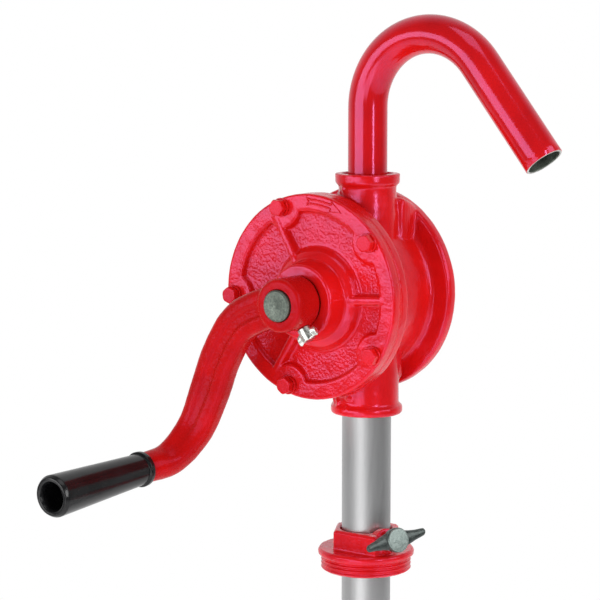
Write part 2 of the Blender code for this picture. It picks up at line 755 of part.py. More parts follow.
def build_bung():
    pitch = THREAD_TALL / THREAD_TURNS
    profile = [(0, -THREAD_TALL), (THREAD_ROOT_R - 0.6, -THREAD_TALL)]
    for i in range(THREAD_TURNS):
        low = -THREAD_TALL + i * pitch
        profile.append((THREAD_ROOT_R, low + 0.3 * pitch))
        profile.append((THREAD_R, low + 0.55 * pitch))
        profile.append((THREAD_R, low + 0.75 * pitch))
        profile.append((THREAD_ROOT_R, low + 0.97 * pitch))
    profile += [
        (THREAD_ROOT_R, 0),
        (BUNG_RIM_R, 0),
        (BUNG_RIM_R, BUNG_RIM_TALL - 0.8),
        (BUNG_RIM_R - 0.8, BUNG_RIM_TALL),
        (0, BUNG_RIM_TALL),
    ]
    plug = revolve(profile, TUBE_FRAME)
    bung = place("bung_adaptor", plug, paint("bung_adaptor", RED, 0.0, 0.25))
    # A hexagon whose corner on the clamp screw's side is squared off to carry the screw.
    block_outline = hexagon(HEX_FLATS)
    block_outline[5:] = [(21.5, -HEX_FLATS / 2), (25.5, -9.0)]
    add(bung, prism(block_outline, BUNG_RIM_TALL - 1.5, HEX_TOP_Z, TUBE_FRAME))
    # The clamp screw leans up, so that its wings clear the drum's lid.
    azimuth = math.radians(CLAMP_AZIMUTH_DEG)
    rise = math.radians(CLAMP_RISE_DEG)
    flat_way = Vector((math.sin(azimuth), -math.cos(azimuth), 0))
    way = flat_way * math.cos(rise) + Z_AXIS * math.sin(rise)
    clamp_frame = along((0, 0, CLAMP_Z), way)
    add(bung, rod_shape(8.2, 18, CLAMP_FACE, clamp_frame, SMALL_FACETS))
    cut(bung, rod_shape(BUNG_BORE_R, -THREAD_TALL - 5, HEX_TOP_Z + 5, TUBE_FRAME))
    low, high = SEAL_Z
    cut(bung, rod_shape(19.0, low - GAP, high + GAP, TUBE_FRAME))
    cut(bung, rod_shape(4.2, 0, CLAMP_FACE + 5, clamp_frame, HOLE_FACETS))
    seal = ring_shape(TUBE_R + GAP, 18.7, low, high, TUBE_FRAME)
    place("bung_seal_ring", seal, paint("bung_seal_ring", BLACK, 0.0, 0.6), (0, 0, low))
    build_wing_screw("bung_wing_screw", clamp_frame, (TUBE_R + 1.9, 32.8, 41.9), (3.9, 7.2), (22.5, 4.4), 4.2)


clear_scene()
build_body()
build_cover()
build_fasteners()
build_shaft_seals()
build_rotor()
build_crank()
build_spout()
build_suction()
build_bung()
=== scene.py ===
import json
import math
import random

import bmesh
import bpy
import numpy as np
from mathutils import Matrix, Vector, noise


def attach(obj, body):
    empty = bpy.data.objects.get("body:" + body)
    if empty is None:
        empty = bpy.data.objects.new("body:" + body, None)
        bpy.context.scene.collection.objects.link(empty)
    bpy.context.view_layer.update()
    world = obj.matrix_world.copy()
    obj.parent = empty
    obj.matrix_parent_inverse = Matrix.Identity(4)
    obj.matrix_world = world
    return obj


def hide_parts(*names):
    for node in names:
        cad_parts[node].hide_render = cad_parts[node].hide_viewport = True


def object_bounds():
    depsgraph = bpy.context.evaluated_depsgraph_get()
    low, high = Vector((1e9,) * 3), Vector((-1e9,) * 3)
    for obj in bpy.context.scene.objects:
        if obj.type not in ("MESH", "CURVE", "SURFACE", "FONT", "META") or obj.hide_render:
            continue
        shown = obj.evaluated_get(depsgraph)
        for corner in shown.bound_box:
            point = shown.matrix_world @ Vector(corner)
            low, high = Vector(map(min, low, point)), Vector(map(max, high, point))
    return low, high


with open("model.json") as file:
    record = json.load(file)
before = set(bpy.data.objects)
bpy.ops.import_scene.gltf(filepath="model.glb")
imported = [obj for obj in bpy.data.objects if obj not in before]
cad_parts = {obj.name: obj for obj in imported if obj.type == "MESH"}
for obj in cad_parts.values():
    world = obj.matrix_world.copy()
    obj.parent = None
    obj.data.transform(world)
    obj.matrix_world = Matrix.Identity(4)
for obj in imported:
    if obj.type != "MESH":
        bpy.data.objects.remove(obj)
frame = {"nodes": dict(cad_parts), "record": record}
CAD_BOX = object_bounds()

# Lengths are in millimetres until a mesh is made, and in metres from then on.
MM = 0.001
X_AXIS = Vector((1, 0, 0))
Y_AXIS = Vector((0, 1, 0))
Z_AXIS = Vector((0, 0, 1))
PUMP_X, PUMP_Z = -20.0, 172.8
SHAFT_X, SHAFT_Z = -14.6, 172.0
FLANGE_R, REAR_R, BARREL_R, BORE_R = 66.8, 68.0, 53.0, 46.5
NECK_TOP_Z, NECK_LOW_Z = 250.6, 94.4
TUBE_R, TUBE_BORE_R = 16.1, 14.6
SPOUT_R, SPOUT_BORE_R = 12.75, 10.75
COVER_FRONT_Y, PANEL_Y, COVER_BACK_Y = -37.4, -33.4, -30.0
BOSS_FRONT_Y = -53.9
PANEL_R, LOBE_R = 55.5, 13.6
BOLT_CIRCLE_R, BOLT_COUNT, BOLT_TURN = 60.9, 5, 38.9
ARM_Y, ARM_HALF_WIDE, ARM_HALF_DEEP, ARM_END_R = -68.0, 13.4, 7.8, 9.9
COUPLING_R = 19.4
RED = (0.66, 0.0070, 0.0062)


# ---------------------------------------------------------------- shape tools
def along(origin, direction, upward=Z_AXIS):
    """Frame at the origin whose own Z runs in the direction."""
    forward = Vector(direction).normalized()
    side = Vector(upward).cross(forward)
    if side.length < 1e-6:
        side = X_AXIS.copy()
    side.normalize()
    across = forward.cross(side)
    turn = Matrix((side, across, forward)).transposed().to_4x4()
    return Matrix.Translation(Vector(origin)) @ turn


PUMP_FRAME = along((PUMP_X, 0, PUMP_Z), Y_AXIS)
SHAFT_FRAME = along((SHAFT_X, 0, SHAFT_Z), Y_AXIS)
TUBE_FRAME = along((0, 0, 0), Z_AXIS)
SHAFT_CENTRE = Vector((SHAFT_X, 0, SHAFT_Z))
DROOP = math.radians(2.0)
GRIP_SPOT = Vector((-102.7, -105.6, 61.5))
GRIP_WAY = Vector((0, -math.cos(DROOP), -math.sin(DROOP)))
GRIP_FRAME = along(GRIP_SPOT, GRIP_WAY)
# The crank's wing screw points down and to the right, the bung's one out and a little up.
CRANK_SCREW_WAY = Vector((0.58, 0, -0.81)).normalized()
CRANK_SCREW_FRAME = along(SHAFT_CENTRE + Vector((0, -64, 0)), CRANK_SCREW_WAY, Y_AXIS)
CLAMP_TURN, CLAMP_RISE = math.radians(67.0), math.radians(15.0)
CLAMP_LEVEL = Vector((math.sin(CLAMP_TURN), -math.cos(CLAMP_TURN), 0))
CLAMP_WAY = CLAMP_LEVEL * math.cos(CLAMP_RISE) + Z_AXIS * math.sin(CLAMP_RISE)
CLAMP_FRAME = along((0, 0, 6.2), CLAMP_WAY)


def rounded(profile, radii):
    """Open profile whose inner corners are rounded by the given radii, in a few steps each."""
    steps = 5
    spots = [Vector(p) for p in profile]
    made = [spots[0]]
    for before, here, after, radius in zip(spots, spots[1:], spots[2:], radii):
        if radius <= 0:
            made.append(here)
            continue
        back = before - here
        ahead = after - here
        half = back.angle(ahead) / 2
        run = min(radius / math.tan(half), 0.49 * back.length, 0.49 * ahead.length)
        start = here + back.normalized() * run
        end = here + ahead.normalized() * run
        for i in range(steps + 1):
            t = i / steps
            made.append(start.lerp(here, t).lerp(here.lerp(end, t), t))
    made.append(spots[-1])
    return [tuple(spot) for spot in made]


def circle_of(count, phase=0.0):
    """The angles of count points spread evenly round a circle."""
    return [2 * math.pi * (i + phase) / count for i in range(count)]


def revolve(bm, profile, place, segments=96, closed=False):
    """Turns a profile of (radius, height) points round the frame's Z axis."""
    rings = []
    for radius, height in profile:
        if radius < 1e-9:
            rings.append([bm.verts.new(place @ Vector((0, 0, height)))])
            continue
        ring = []
        for turn in circle_of(segments):
            spot = Vector((radius * math.cos(turn), radius * math.sin(turn), height))
            ring.append(bm.verts.new(place @ spot))
        rings.append(ring)
    pairs = list(zip(rings, rings[1:]))
    if closed:
        pairs.append((rings[-1], rings[0]))
    faces = []
    for low, high in pairs:
        for i in range(segments):
            j = (i + 1) % segments
            if len(low) == 1 and len(high) == 1:
                continue
            if len(low) == 1:
                faces.append(bm.faces.new((low[0], high[j], high[i])))
            elif len(high) == 1:
                faces.append(bm.faces.new((low[i], low[j], high[0])))
            else:
                faces.append(bm.faces.new((low[i], low[j], high[j], high[i])))
    bmesh.ops.recalc_face_normals(bm, faces=faces)


def loft(bm, stations):
    """Solid through a row of rings that all have the same number of points."""
    rings = [[bm.verts.new(spot) for spot in ring] for ring in stations]
    faces = []
    for low, high in zip(rings, rings[1:]):
        for i in range(len(low)):
            j = (i + 1) % len(low)
            faces.append(bm.faces.new((low[i], low[j], high[j], high[i])))
    faces.append(bm.faces.new(rings[0]))
    faces.append(bm.faces.new(rings[-1]))
    bmesh.ops.recalc_face_normals(bm, faces=faces)


def prism(bm, outline, low, high, place):
    """Flat outline carried straight from low to high along the frame."""
    stations = [[place @ Vector((x, y, h)) for x, y in outline] for h in (low, high)]
    loft(bm, stations)


def blob(bm, spot, radius, squash):
    """Ball that is squashed by a factor for each axis."""
    shift = Matrix.Translation(Vector(spot)) @ Matrix.Diagonal((*squash, 1))
    bmesh.ops.create_icosphere(bm, subdivisions=2, radius=radius, matrix=shift)


def spline(knots, steps):
    """Smooth curve through the knots, with this many points from each to the next."""
    ends = [knots[0] * 2 - knots[1], *knots, knots[-1] * 2 - knots[-2]]
    curve = []
    for a, b, c, d in zip(ends, ends[1:], ends[2:], ends[3:]):
        for i in range(steps):
            t = i / steps
            bend = (2 * a - 5 * b + 4 * c - d) * t * t + (3 * b - a - 3 * c + d) * t**3
            curve.append(0.5 * (2 * b + (c - a) * t + bend))
    curve.append(knots[-1])
    return curve


def piece(name, bm):
    """Object in metres from a bmesh in millimetres."""
    for vert in bm.verts:
        vert.co *= MM
    mesh = bpy.data.meshes.new(name)
    bm.to_mesh(mesh)
    bm.free()
    made = bpy.data.objects.new(name, mesh)
    bpy.context.scene.collection.objects.link(made)
    return made


def settle(obj):
    """Turns the object's modifiers into its mesh."""
    bpy.context.view_layer.update()
    graph = bpy.context.evaluated_depsgraph_get()
    mesh = bpy.data.meshes.new_from_object(obj.evaluated_get(graph))
    old = obj.data
    obj.modifiers.clear()
    obj.data = mesh
    bpy.data.meshes.remove(old)


def carve(obj, bm):
    """Cuts the closed shape in bm out of obj."""
    cutter = piece(obj.name + "_cutter", bm)
    step = obj.modifiers.new("Cut", "BOOLEAN")
    step.operation = "DIFFERENCE"
    step.solver = "MANIFOLD"
    step.object = cutter
    settle(obj)
    bpy.data.objects.remove(cutter)


def bore(obj, profile, place, segments):
    """Cuts a round hole with this profile out of obj."""
    hole = bmesh.new()
    revolve(hole, profile, place, segments)
    carve(obj, hole)


def fuse(obj, voxel, passes):
    """Merges overlapping shells into one skin and rounds its corners, as a mould does."""
    step = obj.modifiers.new("Fuse", "REMESH")
    step.mode = "VOXEL"
    step.voxel_size = voxel * MM
    step.adaptivity = 0
    soft = obj.modifiers.new("Round", "SMOOTH")
    soft.iterations = passes
    soft.factor = 0.5
    settle(obj)


def skin_of(mesh):
    """Every point of the mesh and its normal, as two arrays."""
    spots = np.zeros(len(mesh.vertices) * 3, np.float32)
    ways = np.zeros(len(mesh.vertices) * 3, np.float32)
    mesh.vertices.foreach_get("co", spots)
    mesh.vertex_normals.foreach_get("vector", ways)
    return spots.reshape(-1, 3).astype(float), ways.reshape(-1, 3).astype(float)


def ripple(obj, size, height, seed):
    """Moves the skin along its normals by smooth noise, as on a sand casting."""
    mesh = obj.data
    shift = Vector((seed, seed * 1.7, -seed))
    spots, ways = skin_of(mesh)
    lifts = [noise.fractal(Vector(spot) / (size * MM) + shift, 0.6, 2.1, 3) for spot in spots]
    spots += ways * np.array(lifts)[:, None] * height * MM
    mesh.vertices.foreach_set("co", spots.astype(np.float32).ravel())
    mesh.update()


def finish_piece(obj, material, body, nodes, angle=None):
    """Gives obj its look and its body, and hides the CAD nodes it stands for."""
    mesh = obj.data
    if material is not None:
        mesh.materials.clear()
        mesh.materials.append(material)
    for polygon in mesh.polygons:
        polygon.use_smooth = True
    if angle is not None:
        mesh.set_sharp_from_angle(angle=math.radians(angle))
    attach(obj, body)
    if nodes:
        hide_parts(*nodes)


def around_pump(angle_deg, radius, y=0.0):
    """Point at an angle and a distance from the pump's axis."""
    angle = math.radians(angle_deg)
    return Vector((PUMP_X + radius * math.cos(angle), y, PUMP_Z + radius * math.sin(angle)))


BOLT_ANGLES = [BOLT_TURN + 360.0 / BOLT_COUNT * i for i in range(BOLT_COUNT)]


# ---------------------------------------------------------------- materials
class Look:
    """A Principled material that is built up node by node."""

    def __init__(self, name, colour, metallic, roughness):
        self.material = bpy.data.materials.new(name)
        self.material.use_nodes = True
        self.nodes = self.material.node_tree.nodes
        self.links = self.material.node_tree.links
        self.shader = self.nodes["Principled BSDF"]
        self.shader.inputs["Base Color"].default_value = (*colour, 1)
        self.shader.inputs["Metallic"].default_value = metallic
        self.shader.inputs["Roughness"].default_value = roughness
        self.coords = self.nodes.new("ShaderNodeTexCoord").outputs["Object"]
        self.last_bump = None

    def set(self, **values):
        """Sets shader sockets: an underscore stands for the space in a socket's name."""
        for key, value in values.items():
            self.shader.inputs[key.replace("_", " ")].default_value = value

    def stretched(self, scale):
        node = self.nodes.new("ShaderNodeMapping")
        node.inputs["Scale"].default_value = scale
        self.links.new(self.coords, node.inputs["Vector"])
        return node.outputs["Vector"]

    def noise(self, scale, detail, rough=0.5, stretch=None):
        node = self.nodes.new("ShaderNodeTexNoise")
        node.inputs["Scale"].default_value = scale
        node.inputs["Detail"].default_value = detail
        node.inputs["Roughness"].default_value = rough
        self.links.new(self.stretched(stretch) if stretch else self.coords, node.inputs["Vector"])
        return node.outputs["Fac"]

    def attribute(self, name):
        node = self.nodes.new("ShaderNodeAttribute")
        node.attribute_name = name
        return node.outputs["Fac"]

    def curve(self, source, low, high, to_low, to_high):
        """Maps the source's range from low to high onto another range."""
        node = self.nodes.new("ShaderNodeMapRange")
        node.inputs["From Min"].default_value = low
        node.inputs["From Max"].default_value = high
        node.inputs["To Min"].default_value = to_low
        node.inputs["To Max"].default_value = to_high
        self.links.new(source, node.inputs["Value"])
        return node.outputs["Result"]

    def tint(self, source, dark, light):
        """Colour that runs from dark to light with the middle of the source's range."""
        node = self.nodes.new("ShaderNodeValToRGB")
        node.color_ramp.elements[0].position = 0.35
        node.color_ramp.elements[1].position = 0.65
        node.color_ramp.elements[0].color = (*dark, 1)
        node.color_ramp.elements[1].color = (*light, 1)
        self.links.new(source, node.inputs["Fac"])
        return node.outputs["Color"]

    def mix(self, factor, a, b):
        """Colour that runs from a to b with the factor."""
        node = self.nodes.new("ShaderNodeMix")
        node.data_type = "RGBA"
        self.links.new(factor, node.inputs["Factor"])
        # Sockets 6 and 7 and output 2 are the colour ones of this node.
        self.links.new(a, node.inputs[6])
        self.links.new(b, node.inputs[7])
        return node.outputs[2]

    def base(self, colour):
        self.links.new(colour, self.shader.inputs["Base Color"])

    def rough(self, source):
        self.links.new(source, self.shader.inputs["Roughness"])

    def bump(self, height, distance, strength=None):
        """Adds relief this many millimetres deep, weakened by strength where it is given."""
        node = self.nodes.new("ShaderNodeBump")
        node.inputs["Distance"].default_value = distance * MM
        node.inputs["Strength"].default_value = 1.0
        if strength is not None:
            self.links.new(strength, node.inputs["Strength"])
        self.links.new(height, node.inputs["Height"])
        if self.last_bump is not None:
            self.links.new(self.last_bump, node.inputs["Normal"])
        self.last_bump = node.outputs["Normal"]
        self.links.new(self.last_bump, self.shader.inputs["Normal"])


def scaled(colour, factor):
    """The colour made lighter or darker by a factor."""
    return tuple(min(1.0, c * factor) for c in colour)


def enamel(name, grain, grain_size=560.0, roughness=0.2, shine=0.66, depth=1.0):
    """Thick red enamel.

    grain says how much of the casting's skin shows through it and grain_size how fine that
    skin is, shine how strongly it mirrors, and depth darkens the red.
    """
    look = Look(name, scaled(RED, depth), 0.0, roughness)
    look.set(Specular_IOR_Level=shine, Specular_Tint=(0.95, 0.36, 0.82, 1))
    patches = look.noise(38, 4)
    fine = look.noise(900, 2)
    look.base(look.tint(patches, scaled(RED, 0.88 * depth), scaled(RED, 1.1 * depth)))
    look.rough(look.curve(fine, 0.3, 0.7, roughness - 0.05, roughness + 0.07))
    look.bump(look.noise(110, 1.5), 0.10 + 0.10 * grain)
    skin = look.noise(grain_size, 1.5, 0.4)
    if grain > 0:
        look.bump(skin, 0.36 * grain, look.attribute("grain"))
    else:
        look.bump(skin, 0.03)
    return look.material


def plain(name, colour, metallic, roughness, spots, dark, light, relief=None):
    """Look whose colour wanders from dark to light.

    spots is what noise() takes for that wandering, from its scale on. relief is the scale,
    detail and depth of the bumps.
    """
    look = Look(name, colour, metallic, roughness)
    look.base(look.tint(look.noise(*spots), dark, light))
    if relief:
        scale, detail, depth = relief
        look.bump(look.noise(scale, detail), depth)
    return look.material


def make_materials():
    made = {}
    made["cast"] = enamel("red_enamel_cast", 1.0)
    made["arm"] = enamel("red_enamel_arm", 1.0, 560.0, 0.25, 0.14, 0.72)
    made["smooth"] = enamel("red_enamel_smooth", 0.0, 260.0, 0.13, 0.75, 0.84)
    made["fastener"] = enamel("red_enamel_bolt", 0.0, 700.0, 0.26, 0.42)

    look = Look("tube_steel", (0.47, 0.475, 0.48), 0.9, 0.38)
    look.set(Anisotropic=0.85)
    lines = look.noise(90, 3, 0.5, (30, 30, 0.6))
    look.base(look.tint(look.noise(14, 4, 0.5, (1, 1, 0.25)), (0.44, 0.443, 0.448), (0.52, 0.523, 0.528)))
    look.rough(look.curve(lines, 0.25, 0.75, 0.32, 0.42))
    look.bump(lines, 0.012)
    made["tube"] = look.material

    look = Look("shaft_steel", (0.20, 0.225, 0.195), 0.85, 0.42)
    marks = look.noise(700, 4, 0.6)
    look.base(look.tint(look.noise(900, 4), (0.095, 0.115, 0.098), (0.18, 0.205, 0.175)))
    look.rough(look.curve(marks, 0.3, 0.7, 0.42, 0.6))
    look.bump(marks, 0.06)
    made["shaft"] = look.material

    look = Look("zinc_plate", (0.62, 0.63, 0.60), 1.0, 0.28)
    look.base(look.tint(look.noise(420, 4), (0.5, 0.51, 0.47), (0.74, 0.75, 0.72)))
    look.rough(look.curve(look.noise(600, 3), 0.3, 0.7, 0.2, 0.4))
    look.bump(look.noise(500, 3), 0.05)
    made["zinc"] = look.material

    look = Look("blackened_iron", (0.06, 0.07, 0.068), 0.5, 0.34)
    dull = look.tint(look.noise(260, 3), (0.016, 0.02, 0.02), (0.04, 0.05, 0.048))
    bright = look.tint(look.noise(700, 3), (0.19, 0.235, 0.22), (0.27, 0.325, 0.305))
    # The lighter colour goes where the stored value is high: on the screw's flat end, and as painted
    # light from above on its upward-facing sides.
    look.base(look.mix(look.attribute("grain"), dull, bright))
    look.rough(look.curve(look.noise(700, 3), 0.3, 0.7, 0.26, 0.42))
    look.bump(look.noise(600, 3, 0.5), 0.10)
    made["black_iron"] = look.material

    look = Look("grip_plastic", (0.0065, 0.0068, 0.0072), 0.0, 0.2)
    look.set(Specular_IOR_Level=0.28)
    look.base(look.tint(look.noise(60, 4), (0.005, 0.005, 0.0055), (0.011, 0.011, 0.012)))
    look.rough(look.curve(look.noise(260, 4), 0.3, 0.7, 0.17, 0.24))
    look.bump(look.noise(90, 2), 0.012)
    made["grip"] = look.material

    shades = (0.035, 0.045, 0.036), (0.13, 0.15, 0.125)
    made["bore"] = plain("pipe_bore", (0.06, 0.075, 0.062), 0.6, 0.5, (160, 5), *shades, (300, 4, 0.1))

    shades = (0.35, 0.32, 0.30), (0.72, 0.71, 0.69)
    made["rim"] = plain("pipe_rim", (0.55, 0.53, 0.5), 1.0, 0.3, (300, 4), *shades, (900, 3, 0.03))

    look = Look("bronze", (0.55, 0.35, 0.14), 1.0, 0.35)
    look.base(look.tint(look.noise(150, 4), (0.42, 0.26, 0.10), (0.62, 0.42, 0.18)))
    look.rough(look.curve(look.noise(600, 3), 0.3, 0.7, 0.28, 0.45))
    made["bronze"] = look.material

    shades = (0.09, 0.09, 0.092), (0.17, 0.17, 0.175)
    made["iron"] = plain("cast_iron", (0.13, 0.13, 0.135), 0.9, 0.5, (120, 5), *shades, (500, 4, 0.12))

    shades = (0.035, 0.028, 0.022), (0.07, 0.055, 0.045)
    spots = (240, 4, 0.5, (1, 6, 1))
    made["resin"] = plain("vane_resin", (0.05, 0.04, 0.032), 0.0, 0.45, spots, *shades)

    shades = (0.012, 0.012, 0.012), (0.028, 0.028, 0.028)
    made["rubber"] = plain("rubber", (0.018, 0.018, 0.018), 0.0, 0.65, (180, 4), *shades, (700, 3, 0.05))

    shades = (0.06, 0.045, 0.035), (0.12, 0.09, 0.07)
    made["gasket"] = plain("gasket_fibre", (0.09, 0.065, 0.05), 0.0, 0.85, (900, 3), *shades)

    shades = (0.015, 0.015, 0.016), (0.03, 0.03, 0.031)
    made["foot"] = plain("foot_plastic", (0.02, 0.02, 0.021), 0.0, 0.42, (90, 4), *shades, (800, 3, 0.04))
    return made


LOOKS = make_materials()


def set_grain_and_painted_light(obj, rule):
    """Stores, for each point, how much casting skin shows through the paint; on the bung's screw it
    stores how light its colour is, painted light from above included.
    """
    mesh = obj.data
    layer = mesh.attributes.get("grain") or mesh.attributes.new("grain", "FLOAT", "POINT")
    spots, ways = skin_of(mesh)
    values = [rule(Vector(spot) / MM, Vector(way)) for spot, way in zip(spots, ways)]
    layer.data.foreach_set("value", np.array(values, np.float32))


# ---------------------------------------------------------------- pieces
def make_body():
    front_y, rear_y, ring_y, chamber_end_y = -28.9, 32.8, 31.4, 23
    bm = bmesh.new()
    outline = (
        (0, front_y),
        (FLANGE_R, front_y),
        (FLANGE_R, -21.0),
        (BARREL_R + 0.5, -20.4),
        (BARREL_R + 1.6, 22.5),
        (REAR_R - 1, 24.2),
        (REAR_R, 26.0),
        (REAR_R, rear_y),
        (58.5, rear_y),
        (57.0, ring_y),
        (27.5, ring_y),
        (26.0, rear_y),
        (0, rear_y),
    )
    radii = (0.1, 1.2, 4.5, 4.5, 1.5, 1.0, 2.2, 1.5, 1.5, 1.5, 1.5)
    revolve(bm, rounded(outline, radii), PUMP_FRAME, 160)
    neck_r, low_neck_r, low_rim_r, hidden = 18.7, 21.0, 23.5, 20
    top = (
        (0, PUMP_Z + hidden),
        (20.5, PUMP_Z + hidden),
        (19.6, PUMP_Z + 52),
        (18.6, NECK_TOP_Z - 12),
        (neck_r, NECK_TOP_Z - 6.8),
        (20.9, NECK_TOP_Z - 5.4),
        (21.0, NECK_TOP_Z + 0.9),
        (0, NECK_TOP_Z + 0.9),
    )
    revolve(bm, rounded(top, (0, 12, 8, 1.2, 1.0, 0.6)), TUBE_FRAME, 96)
    low = (
        (0, NECK_LOW_Z),
        (low_rim_r, NECK_LOW_Z),
        (low_rim_r, NECK_LOW_Z + 5.0),
        (low_neck_r, NECK_LOW_Z + 6.6),
        (low_neck_r, NECK_LOW_Z + 20),
        (22.6, PUMP_Z - hidden),
        (0, PUMP_Z - hidden),
    )
    revolve(bm, rounded(low, (1.6, 1.3, 1.6, 8, 0)), TUBE_FRAME, 96)
    # Webs join each neck to the barrel between the two flanges: x, y, radius, foot and top.
    webs = (
        (17.4, 12.0, 4.1, 190, 236),
        (17.6, 14.6, 4.1, 190, 235),
        (17.6, 17.2, 4.1, 190, 234),
        (17.4, 19.8, 4.1, 190, 233),
        (17.2, 22.4, 4.1, 190, 232),
        (-17.5, 11.0, 4.4, 190, 234),
        (14.6, 11.0, 4.6, 118, 150),
        (-14.6, 11.0, 4.6, 118, 150),
    )
    for x, y, r, foot, crown in webs:
        web = ((0, foot), (r, foot), (r, crown - r), (r * 0.75, crown - 0.35 * r), (0, crown))
        revolve(bm, rounded(web, (0, 3, 2)), along((x, y, 0), Z_AXIS), 32)
    # Runs and drips that the mould left on the necks.
    random.seed(7)
    for _ in range(15):
        turn = math.radians(random.uniform(-150, -88))
        z = random.uniform(PUMP_Z + 55, NECK_TOP_Z - 8)
        spot = (neck_r * math.cos(turn), neck_r * math.sin(turn), z)
        blob(bm, spot, random.uniform(0.9, 1.7), (1, 1, random.uniform(0.7, 1.6)))
    for _ in range(16):
        turn = math.radians(random.uniform(-165, -80))
        z = random.uniform(NECK_LOW_Z + 2, NECK_LOW_Z + 15)
        r = low_neck_r + 1.0 if z < NECK_LOW_Z + 6 else low_neck_r
        spot = (r * math.cos(turn), r * math.sin(turn), z)
        blob(bm, spot, random.uniform(0.9, 1.9), (1.1, 1.1, random.uniform(0.6, 1.1)))
    body = piece("body_casting", bm)
    fuse(body, 0.9, 3)
    chamber = ((0, -40), (BORE_R, -40), (BORE_R, chamber_end_y), (0, chamber_end_y))
    bore(body, chamber, PUMP_FRAME, 128)
    port_r, spout_stop_z, tube_stop_z = 11, 228.3, 117.1
    outlet = (
        (0, PUMP_Z + 30),
        (port_r, PUMP_Z + 30),
        (port_r, spout_stop_z),
        (SPOUT_R + 0.25, spout_stop_z),
        (SPOUT_R + 0.25, NECK_TOP_Z - 5.0),
        (SPOUT_R + 2.6, NECK_TOP_Z - 2.6),
        (SPOUT_R + 4.4, NECK_TOP_Z + 1.2),
        (SPOUT_R + 4.4, NECK_TOP_Z + 9),
        (0, NECK_TOP_Z + 9),
    )
    bore(body, outlet, TUBE_FRAME, 96)
    inlet = (
        (0, 60),
        (TUBE_R + 1.6, 60),
        (TUBE_R + 1.6, NECK_LOW_Z - 0.2),
        (TUBE_R + 0.2, NECK_LOW_Z + 1.4),
        (TUBE_R + 0.2, tube_stop_z),
        (port_r, tube_stop_z),
        (port_r, PUMP_Z - 30),
        (0, PUMP_Z - 30),
    )
    bore(body, inlet, TUBE_FRAME, 96)
    ripple(body, 14, 0.16, 3.1)

    def rule(spot, normal):
        neck = math.hypot(spot.x, spot.y) < 24 and abs(spot.z - PUMP_Z) > 52
        return 0.1 if neck else 0.2

    set_grain_and_painted_light(body, rule)
    finish_piece(body, LOOKS["cast"], "pump", ["pump_body"], 50)


def panel_reach(angle):
    """How far the cover's sunk panel reaches from the pump's axis at an angle in degrees."""
    reach = PANEL_R
    for bolt in BOLT_ANGLES:
        off = math.radians(angle - bolt)
        miss = BOLT_CIRCLE_R * math.sin(off)
        if math.cos(off) > 0 and abs(miss) < LOBE_R:
            reach = min(reach, BOLT_CIRCLE_R * math.cos(off) - math.sqrt(LOBE_R**2 - miss**2))
    return reach


def make_cover():
    bm = bmesh.new()
    disc = ((0, COVER_BACK_Y), (FLANGE_R, COVER_BACK_Y), (FLANGE_R, PANEL_Y), (0, PANEL_Y))
    revolve(bm, disc, PUMP_FRAME, 160)
    steps, chamfer, sunk_y = 480, 0.9, PANEL_Y + 1.5
    rings = []
    # The raised rim: outer wall, flat top, and inner wall that bows in round each bolt.
    for radius_of, y in (
        (lambda a: FLANGE_R, sunk_y),
        (lambda a: FLANGE_R, COVER_FRONT_Y + chamfer),
        (lambda a: FLANGE_R - chamfer, COVER_FRONT_Y),
        (lambda a: panel_reach(a) + chamfer, COVER_FRONT_Y),
        (lambda a: panel_reach(a), COVER_FRONT_Y + chamfer),
        (lambda a: panel_reach(a) - 1.0, sunk_y),
    ):
        ring = []
        for i in range(steps):
            angle = 360 * i / steps
            ring.append(bm.verts.new(around_pump(angle, radius_of(angle), y)))
        rings.append(ring)
    faces = []
    for low, high in zip(rings, rings[1:] + rings[:1]):
        for i in range(steps):
            j = (i + 1) % steps
            faces.append(bm.faces.new((low[i], low[j], high[j], high[i])))
    bmesh.ops.recalc_face_normals(bm, faces=faces)
    boss = (
        (0, sunk_y),
        (35.5, sunk_y),
        (33.4, PANEL_Y - 0.6),
        (31.0, -38.4),
        (28.4, -40.0),
        (26.2, -40.9),
        (25.4, -46.0),
        (23.9, BOSS_FRONT_Y),
        (0, BOSS_FRONT_Y),
    )
    revolve(bm, rounded(boss, (0, 2.5, 1.4, 1.0, 1.2, 0, 1.6)), SHAFT_FRAME, 128)
    # Three ribs run from the rim in to the boss and rise on the way.
    rib_foot, rib_shoulder, rib_top, rib_foot_y = 3.4, 2.4, 1.4, PANEL_Y + 1
    for angle in (118.0, 2.0, 241.0):
        outer = around_pump(angle, 58)
        inward = SHAFT_CENTRE - outer
        far = inward.length
        way = inward.normalized()
        side = way.cross(Y_AXIS)
        rises = ((0, -37.6), (2.5, -37.8), (far - 33, -39.4), (far - 29, -40.4), (far - 24, -40.6))
        stations = []
        for run, top in rises:
            half = ((rib_top, top), (rib_shoulder, top + 0.8), (rib_foot, rib_foot_y))
            section = [(-x, y) for x, y in half[::-1]] + list(half)
            stations.append([outer + way * run + side * x + Y_AXIS * y for x, y in section])
        loft(bm, stations)
    cover = piece("cover_casting", bm)
    fuse(cover, 0.7, 3)
    bush_r, gland_r, mouth_r, gland_seat_y = 13.3, 15.3, 17.0, -44
    shaft_way = (
        (0, -20),
        (bush_r, -20),
        (bush_r, gland_seat_y),
        (gland_r, gland_seat_y),
        (gland_r, BOSS_FRONT_Y + 1.3),
        (mouth_r, BOSS_FRONT_Y - 0.5),
        (mouth_r, -70),
        (0, -70),
    )
    bore(cover, shaft_way, SHAFT_FRAME, 96)
    ripple(cover, 12, 0.13, 9.4)

    def rule(spot, normal):
        from_pump = math.hypot(spot.x - PUMP_X, spot.z - PUMP_Z)
        from_shaft = math.hypot(spot.x - SHAFT_X, spot.z - SHAFT_Z)
        if from_shaft < 36:
            return 0.12
        if spot.y > PANEL_Y - 1.2 and from_pump < 56:
            return 1.0
        return 0.4

    set_grain_and_painted_light(cover, rule)
    finish_piece(cover, LOOKS["cast"], "pump", ["front_cover"], 55)


